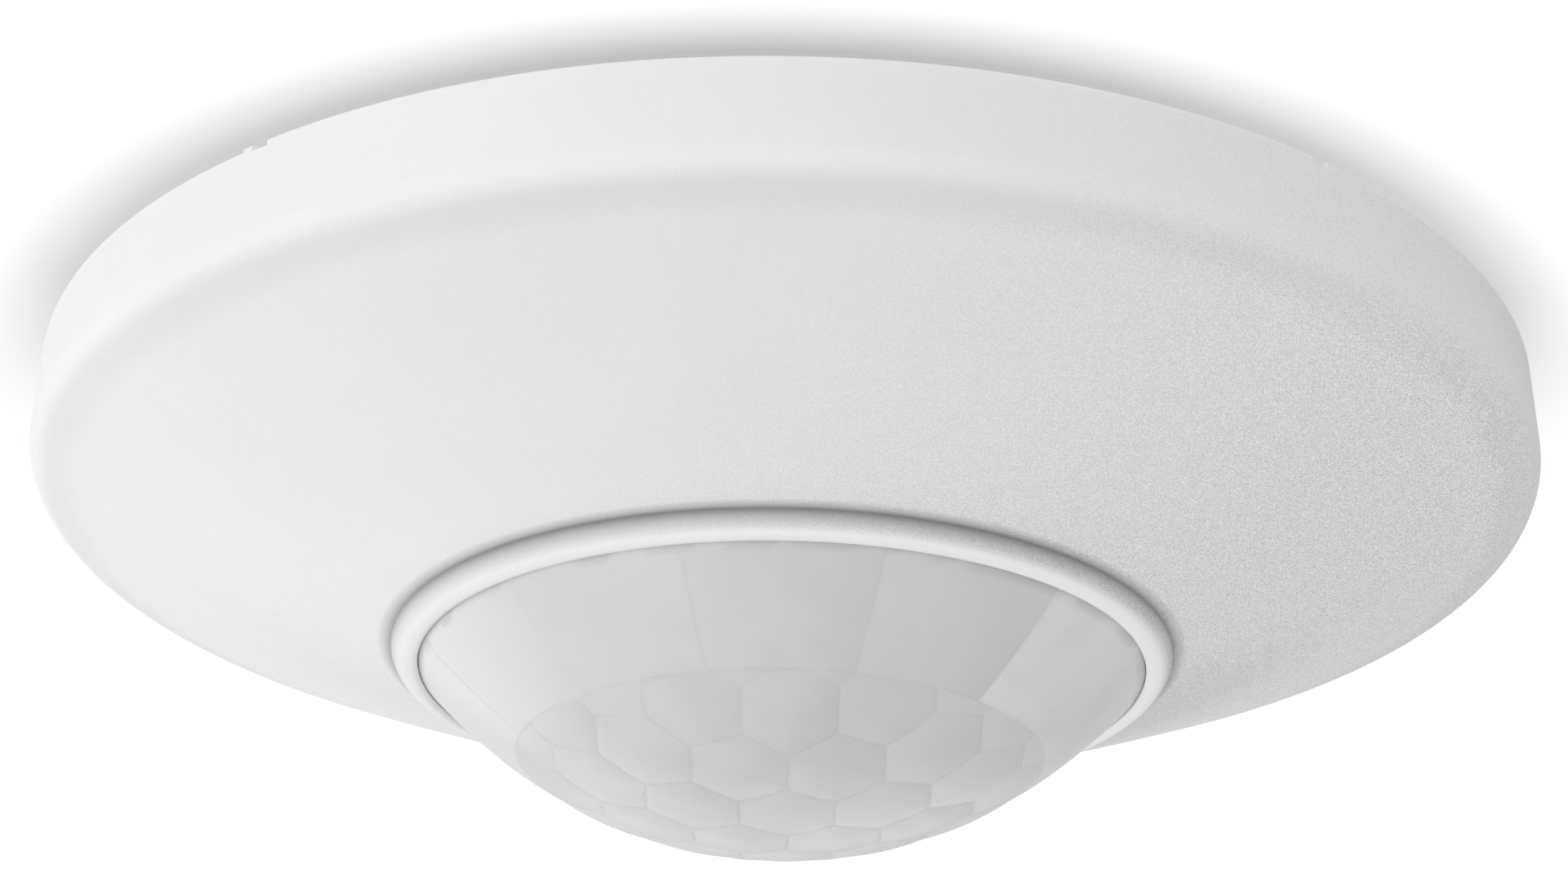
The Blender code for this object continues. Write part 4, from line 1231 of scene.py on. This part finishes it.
def make_board_print():
    """Printed outlines, tinned rings at the screws and tracks between the larger parts."""
    ink = []
    for node in OUTLINED:
        ink += frame_lines(node)
    for node in RINGED:
        low, high, centre = space(node)
        radius = (high.x - low.x) / 2 + 0.4
        ink.append(tube(radius, radius + 0.18, FACE, FACE - INK, centre))
    on_board("board_print", ink, "ink")
    rings = [tube(1.7, 3.2, FACE, FACE - PAD, spot) for spot in SCREW_SPOTS]
    on_board("screw_lands", rings, "tin")
    tracks = []
    for k, (x, y) in enumerate(leg_spots("terminal_block", 270, 6, 3.81)):
        ends = leg_spots("alarm_relay" if k < 3 else "reservoir_capacitor", 90, 3, 1.6)
        tracks += track((x, y - 0.6), ends[k % 3], 0.9)
    for first, first_side, second, second_side, count, width in LINKS:
        starts = leg_spots(first, first_side, count, 1.5)
        ends = leg_spots(second, second_side, count, 1.1)
        for start, end in zip(starts, reversed(ends)):
            tracks += track(start, end, width)
    on_board("board_tracks", tracks, "trace")


# ---- parts on the board


def make_pyro():
    """The infrared detector: a black spacer, a plated can with its aperture, and the window."""
    low, high, _ = space("pyro_spacer")
    outline = [(5.9, high.z, 0.2), (5.9, high.z - 1.2, 0.2), (5.2, high.z - 1.6, 0.2)]
    outline.append((5.2, low.z, 0.4))
    dress(turned("detector_spacer", to_axis(outline)), "black", "pyro_spacer")
    low, high, _ = space("pyro_sensor")
    outline = [(4.6, high.z, 0.15), (4.6, high.z - 0.6, 0.25), (4.1, high.z - 0.7, 0.15)]
    can = turned("detector_can", to_axis(outline + [(4.1, low.z, 0.6)]), 96)
    tab = [(4.3, high.z - 0.1), (5.3, high.z - 0.1), (5.3, high.z - 0.5), (4.3, high.z - 0.5)]
    join(can, radial_prism(tab, 0.9, 45))
    cut(can, slab(4.2, 3.2, low.z + 0.5, low.z - 1, (0, 0)))
    soften(can, 0.06)
    dress(can, "nickel", "pyro_sensor")
    paint_node("pyro_window", "window", 0.0)


def make_terminals():
    low, high, centre = space("terminal_block")
    width = high.x - low.x
    front = high.y
    block = as_object("terminal_housing", slab(width, front - low.y, high.z, low.z, centre))
    slope = [(front - 1.6, low.z - 1), (front + 1, low.z - 1)]
    slope += [(front + 1, low.z + 2.6), (front, low.z + 1.8)]
    cut(block, radial_prism(slope, width + 2, 90))
    holes, clamps, grooves = [], [], []
    for k in range(6):
        node = f"terminal_screw_{k + 1}"
        bottom, top, at = space(node)
        holes.append(rod(1.5, low.z + 3.3, low.z - 1, at, 40))
        holes.append(slab(2.6, 4.4, high.z - 2.2, high.z - 5.0, (at.x, front - 1.2)))
        clamps.append(slab(2.4, 1.6, high.z - 2.3, high.z - 2.7, (at.x, front - 1.6)))
        clamps.append(slab(2.4, 0.3, high.z - 2.3, high.z - 4.9, (at.x, front - 3.1)))
        if k:
            for y in (front, low.y):
                grooves.append(slab(0.3, 0.6, high.z + 1, low.z - 1, (at.x - 1.905, y)))
        outline = to_axis([(1.2, top.z, 0.1), (1.2, bottom.z, 0.25)])
        screw = turned(node + "_steel", outline, 40, at)
        cut(screw, slab(3.0, 0.4, bottom.z + 0.6, bottom.z - 1, at, 25 + 31 * k))
        dress(screw, "screw", node)
    cut(block, *holes)
    cut(block, *grooves)
    soften(block, 0.12)
    dress(block, "terminal", "terminal_block")
    on_board("terminal_clamps", clamps, "tin")


def make_relay():
    low, high, centre = space("alarm_relay")
    wide, long = high.x - low.x, high.y - low.y
    case = as_object("relay_case", slab(wide, long, high.z - 0.6, low.z, centre))
    cut(case, slab(wide - 2.4, long - 4.0, low.z + 0.15, low.z - 1, centre))
    soften(case, 0.45, segments=4)
    dress(case, "relay", "alarm_relay")
    on_board("relay_foot", [slab(wide - 0.5, long - 0.5, high.z, high.z - 0.7, centre)], "black")
    nib_at = (centre.x + wide / 2 - 1.6, centre.y + long / 2 - 1.3)
    nib = as_object("relay_nib", rod(0.45, low.z + 0.3, low.z - 0.25, nib_at, 32, 0.35))
    soften(nib, 0.08)
    dress(nib, "relay")


def make_capacitor(node):
    """A can with a printed sleeve: the sleeve wraps the side and folds over the end."""
    low, high, at = space(node)
    radius = (high.x - low.x) / 2
    inner = radius - 0.12
    outline = [(inner, high.z, 0.3), (inner, high.z - 1.0, 0), (inner - 0.4, high.z - 1.4, 0)]
    outline += [(inner, high.z - 1.8, 0), (inner, low.z, 0.5)]
    can = turned(node + "_can", to_axis(outline), SOFT, at)
    for turn in (30, 120):
        cut(can, slab(1.24 * radius, 0.18, low.z + 0.12, low.z - 1, at, turn))
    dress(can, "can", node)
    fold = 0.72 * radius
    skin = [(inner - 0.02, high.z - 0.2, 0), (radius, high.z - 0.2, 0), (radius, high.z - 1.0, 0.2)]
    skin += [(radius - 0.38, high.z - 1.4, 0.2), (radius, high.z - 1.8, 0.2)]
    skin += [(radius, low.z - 0.06, 0.55), (fold, low.z - 0.06, 0.04), (fold, low.z + 0.3, 0)]
    skin += [(inner - 0.5, low.z + 0.3, 0), (inner - 0.5, high.z - 0.2, 0)]
    sleeve = turned(node + "_sleeve", skin, SOFT, at)
    dress(sleeve, "sleeve")
    sleeve.data.materials.append(LOOKS["ink"].material)
    for face in sleeve.data.polygons:
        away = (face.center / MM - at).xy
        if abs(math.atan2(away.y, away.x)) < 0.42 and away.length > radius - 0.1:
            face.material_index = 1


def make_led():
    low, high, at = space("walk_test_led")
    radius = 1.5
    flange = 1.75
    outline = [(0, high.z, 0), (flange, high.z, 0.1), (flange, high.z - 0.9, 0.1)]
    outline += [(radius, high.z - 0.9, 0), (radius, low.z + radius, 0)]
    for k in range(1, 8):
        x, y = polar(radius, 90 * k / 8)
        outline.append((x, low.z + radius - y, 0))
    dress(turned("led_lens", outline + [(0, low.z, 0)], 48, at), "led", "walk_test_led")


def make_dial(prefix):
    node = prefix + "_dial"
    low, high, at = space(node)
    dial = turned(prefix + "_knob", to_axis([(2.5, high.z, 0), (2.5, low.z, 0.3)]), SOFT, at)
    cut(dial, prism(cross_points(at, 1.7, 0.35), low.z + 0.7, low.z - 1))
    cut(dial, rod(0.3, low.z + 0.4, low.z - 1, (at.x + 1.95, at.y), 20))
    soften(dial, 0.06)
    dress(dial, "cream", node, node)
    top = space(prefix + "_trimmer")[0].z
    marks = []
    for k in range(11):
        angle = -135 + 27 * k
        long = 0.32 if k % 5 else 0.55
        spot = placed(at, 2.75 + long / 2, 0, angle)
        marks.append(ink_line(long, 0.13, spot, top, angle))
    on_board(prefix + "_scale", marks, "ink")


def make_controls():
    for prefix in ("sensitivity", "hold_time"):
        paint_node(prefix + "_trimmer", "blue")
        make_dial(prefix)
    paint_node("dip_switch", "blue")
    low, high, _ = space("dip_switch")
    marks = []
    for k in range(1, 5):
        paint_node(f"dip_slider_{k}", "cream", 0.1)
        x = space(f"dip_slider_{k}")[2].x
        marks.append(ink_line(1.1, 0.16, (x, high.y - 0.8), low.z))
        marks.append(ink_line(0.16, 0.5, (x, low.y + 0.8), low.z))
    on_board("dip_marks", marks, "ink")


def make_tamper():
    paint_node("tamper_switch", "black", 0.15)
    top, low = TAMPER_HIGH.z, TAMPER_LOW.z
    head_top = low + 0.8
    outline = [(1.3, top, 0.1), (1.3, head_top, 0.15), (2.7, head_top, 0.12), (2.7, low, 0.3)]
    button = turned("tamper_button", to_axis(outline), 48, TAMPER)
    dress(button, "cream", "tamper_plunger", "tamper_plunger")
    make_spring()


def make_spring(turns=2.5, wire=0.17, sides=12):
    """A coil that stretches between the switch and the plunger's head."""
    low, high, centre = space("tamper_spring")
    radius = (high.x - low.x) / 2 - wire
    count = int(turns * 32)
    points, faces = [], []
    for i in range(count + 1):
        spin = 360 * turns * i / count
        middle = high.z - wire + (low.z - high.z + 2 * wire) * i / count
        for k in range(sides):
            out, rise = polar(wire, 360 * k / sides)
            points.append((*placed(centre, radius + out, 0, spin), middle + rise))
    for a in range(0, count * sides, sides):
        for k in range(sides):
            j = (k + 1) % sides
            faces.append([a + k, a + j, a + sides + j, a + sides + k])
    faces += [list(range(sides)), list(range(count * sides, (count + 1) * sides))]
    spring = as_object("tamper_coil", fresh(points, faces))
    shade(spring, 60.0)
    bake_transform(spring)
    coat(spring, "spring")
    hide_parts("tamper_spring")


def make_clips():
    for number in range(1, len(SNAP_ANGLES) + 1):
        paint_node(f"cover_clip_{number}", "spring", 0.06)


def make_chips():
    for node in ("microcontroller", "amplifier_chip", "voltage_regulator"):
        paint_node(node, "black", 0.08)
    dots = []
    for node in ("microcontroller", "amplifier_chip"):
        low = space(node)[0]
        dots.append(tube(0.22, 0.34, low.z, low.z - 0.02, (low.x + 0.9, low.y + 0.9), 32))
    on_board("chip_dots", dots, "ink")


# ---- stage


def wall_shader(name, hole):
    """White from below with soft contact shade; clear from above, and clear to light in the hole."""
    made = bpy.data.materials.new(name)
    nodes = Nodes(made)
    nodes.tree.nodes.clear()
    place = nodes.add("NewGeometry").outputs
    seen = nodes.add("LightPath").outputs["Is Camera Ray"]
    radius = nodes.add("VectorMath", operation="LENGTH")
    nodes.link(place["Position"], radius.inputs[0])
    radius = radius.outputs["Value"]
    outside = nodes.maths("GREATER_THAN", radius, hole)
    front = nodes.maths("SUBTRACT", 1.0, place["Backfacing"])
    paint = nodes.add("BsdfDiffuse", Color=(0.93, 0.93, 0.93, 1.0))
    # Painted shade: ambient occlusion dims the ceiling's glow near the sensor, fading out towards the
    # sides.
    sky = nodes.add("AmbientOcclusion", samples=16, Distance=6.4 * MM).outputs["AO"]
    depth = nodes.maths("SUBTRACT", 1.0, nodes.maths("MAXIMUM", nodes.times(sky, 1.06), 0.52))
    across = nodes.maths("ABSOLUTE", nodes.split(place["Position"])["Y"])
    across = nodes.maths("DIVIDE", across, radius)
    near = nodes.maths("MINIMUM", nodes.times(across, 2.2), 1.0)
    most = nodes.maths("ADD", 0.66, nodes.times(nodes.maths("POWER", across, 4.0), 0.34))
    strength = nodes.maths("SUBTRACT", 1.0, nodes.times(depth, nodes.times(near, most)))
    glow = nodes.add("Emission")
    nodes.link(strength, glow.inputs["Strength"])
    white = nodes.mix(seen, paint.outputs[0], glow.outputs[0])
    share = nodes.times(nodes.maths("MAXIMUM", outside, seen), front)
    whole = nodes.mix(share, nodes.add("BsdfTransparent").outputs[0], white)
    nodes.link(whole, nodes.add("OutputMaterial").inputs["Surface"])
    return made


def make_stage():
    """A pale ceiling that shows from below only, with its hole behind the base, and a pale floor."""
    hole = BASE_HIGH.x - 0.8
    edge = 1500.0
    turns = 96
    spots = [(*polar(r, 360 * k / turns), 0.02) for r in (hole, edge) for k in range(turns)]
    faces = [[k, (k + 1) % turns, turns + (k + 1) % turns, turns + k] for k in range(turns)]
    bm = fresh(spots, faces)
    for face in bm.faces:
        if face.normal.z > 0:
            face.normal_flip()
    ceiling = as_object("ceiling", bm)
    ceiling.data.materials.append(wall_shader("ceiling_paint", (RIM_RADIUS + 0.3) * MM))
    bm = bmesh.new()
    corners = ((-1, -1), (1, -1), (1, 1), (-1, 1))
    bm.faces.new([bm.verts.new((2 * edge * x, 2 * edge * y, -900.0)) for x, y in corners])
    floor = as_object("floor", bm)
    pale = Look("floor_paint", (0.86, 0.86, 0.85), 0.7).mottle(400.0, 0.02)
    floor.data.materials.append(pale.material)
    floor.visible_diffuse = False
    floor.visible_glossy = False
    floor.visible_transmission = False
    floor.visible_shadow = False


def make_world():
    """A white room that lights the sensor softly from all round."""
    world = bpy.data.worlds.new("studio")
    bpy.context.scene.world = world
    nodes = Nodes(world)
    soft = nodes.tree.nodes["Background"]
    soft.inputs["Color"].default_value = (1.0, 1.0, 1.0, 1.0)
    soft.inputs["Strength"].default_value = 0.54
    sky = nodes.add("Background", Strength=1.1)
    seen = nodes.add("Background", Strength=1.0)
    height = nodes.split(nodes.add("TexCoord").outputs["Generated"])["Z"]
    upper = nodes.maths("GREATER_THAN", height, 0.0)
    light = nodes.mix(upper, soft.outputs[0], sky.outputs[0])
    ray = nodes.add("LightPath").outputs["Is Camera Ray"]
    whole = nodes.mix(ray, light, seen.outputs[0])
    nodes.link(whole, nodes.tree.nodes["World Output"].inputs["Surface"])


def area_light(name, place, size, power):
    """A soft square light that faces the sensor."""
    light = bpy.data.lights.new(name, "AREA")
    light.size = size
    light.energy = power
    made = bpy.data.objects.new(name, light)
    bpy.context.scene.collection.objects.link(made)
    made.location = place
    made.rotation_euler = (-Vector(place)).to_track_quat("-Z", "Y").to_euler()
    made.visible_camera = False


def make_lights():
    area_light("key", (-0.7, -0.5, -0.9), 0.8, 2.1)
    area_light("left", (-1.0, -0.3, -0.25), 0.7, 2.9)
    area_light("front", (0.0, -1.1, -0.4), 0.9, 3.1)
    area_light("back", (0.0, 1.0, -0.5), 0.9, 2.0)
    area_light("back_left", (-0.8, 0.7, -0.4), 0.8, 2.2)


def make_camera():
    """The camera below the ceiling, looking up at the sensor, with a slight roll."""
    data = bpy.data.cameras.new("camera")
    data.sensor_fit = "HORIZONTAL"
    data.sensor_width = 36.0
    data.lens = 71.01
    data.clip_start = 0.005
    data.clip_end = 20.0
    made = bpy.data.objects.new("camera", data)
    bpy.context.scene.collection.objects.link(made)
    below = math.radians(24.755)
    roll = math.radians(0.938)
    distance = 4.2352 * RIM_RADIUS * MM
    aim = Vector((-0.106, 0.0, -0.237)) * MM
    back = Vector((0.0, -math.cos(below), -math.sin(below)))
    side = Vector((1.0, 0.0, 0.0))
    turned_side = math.cos(roll) * side + math.sin(roll) * back.cross(side)
    basis = Matrix((turned_side, back.cross(turned_side), back)).transposed()
    made.matrix_world = Matrix.Translation(aim + back * distance) @ basis.to_4x4()
    bpy.context.scene.camera = made


make_cover()
make_lens()
make_retainer()
make_base()
make_seals()
make_board()
make_board_print()
make_chip_legs()
make_small_parts()
make_chips()
make_pyro()
make_terminals()
make_relay()
make_capacitor("reservoir_capacitor")
make_capacitor("filter_capacitor")
make_led()
make_controls()
make_tamper()
make_clips()
make_stage()
make_world()
make_lights()
make_camera()
bpy.context.scene.view_settings.view_transform = "Standard"
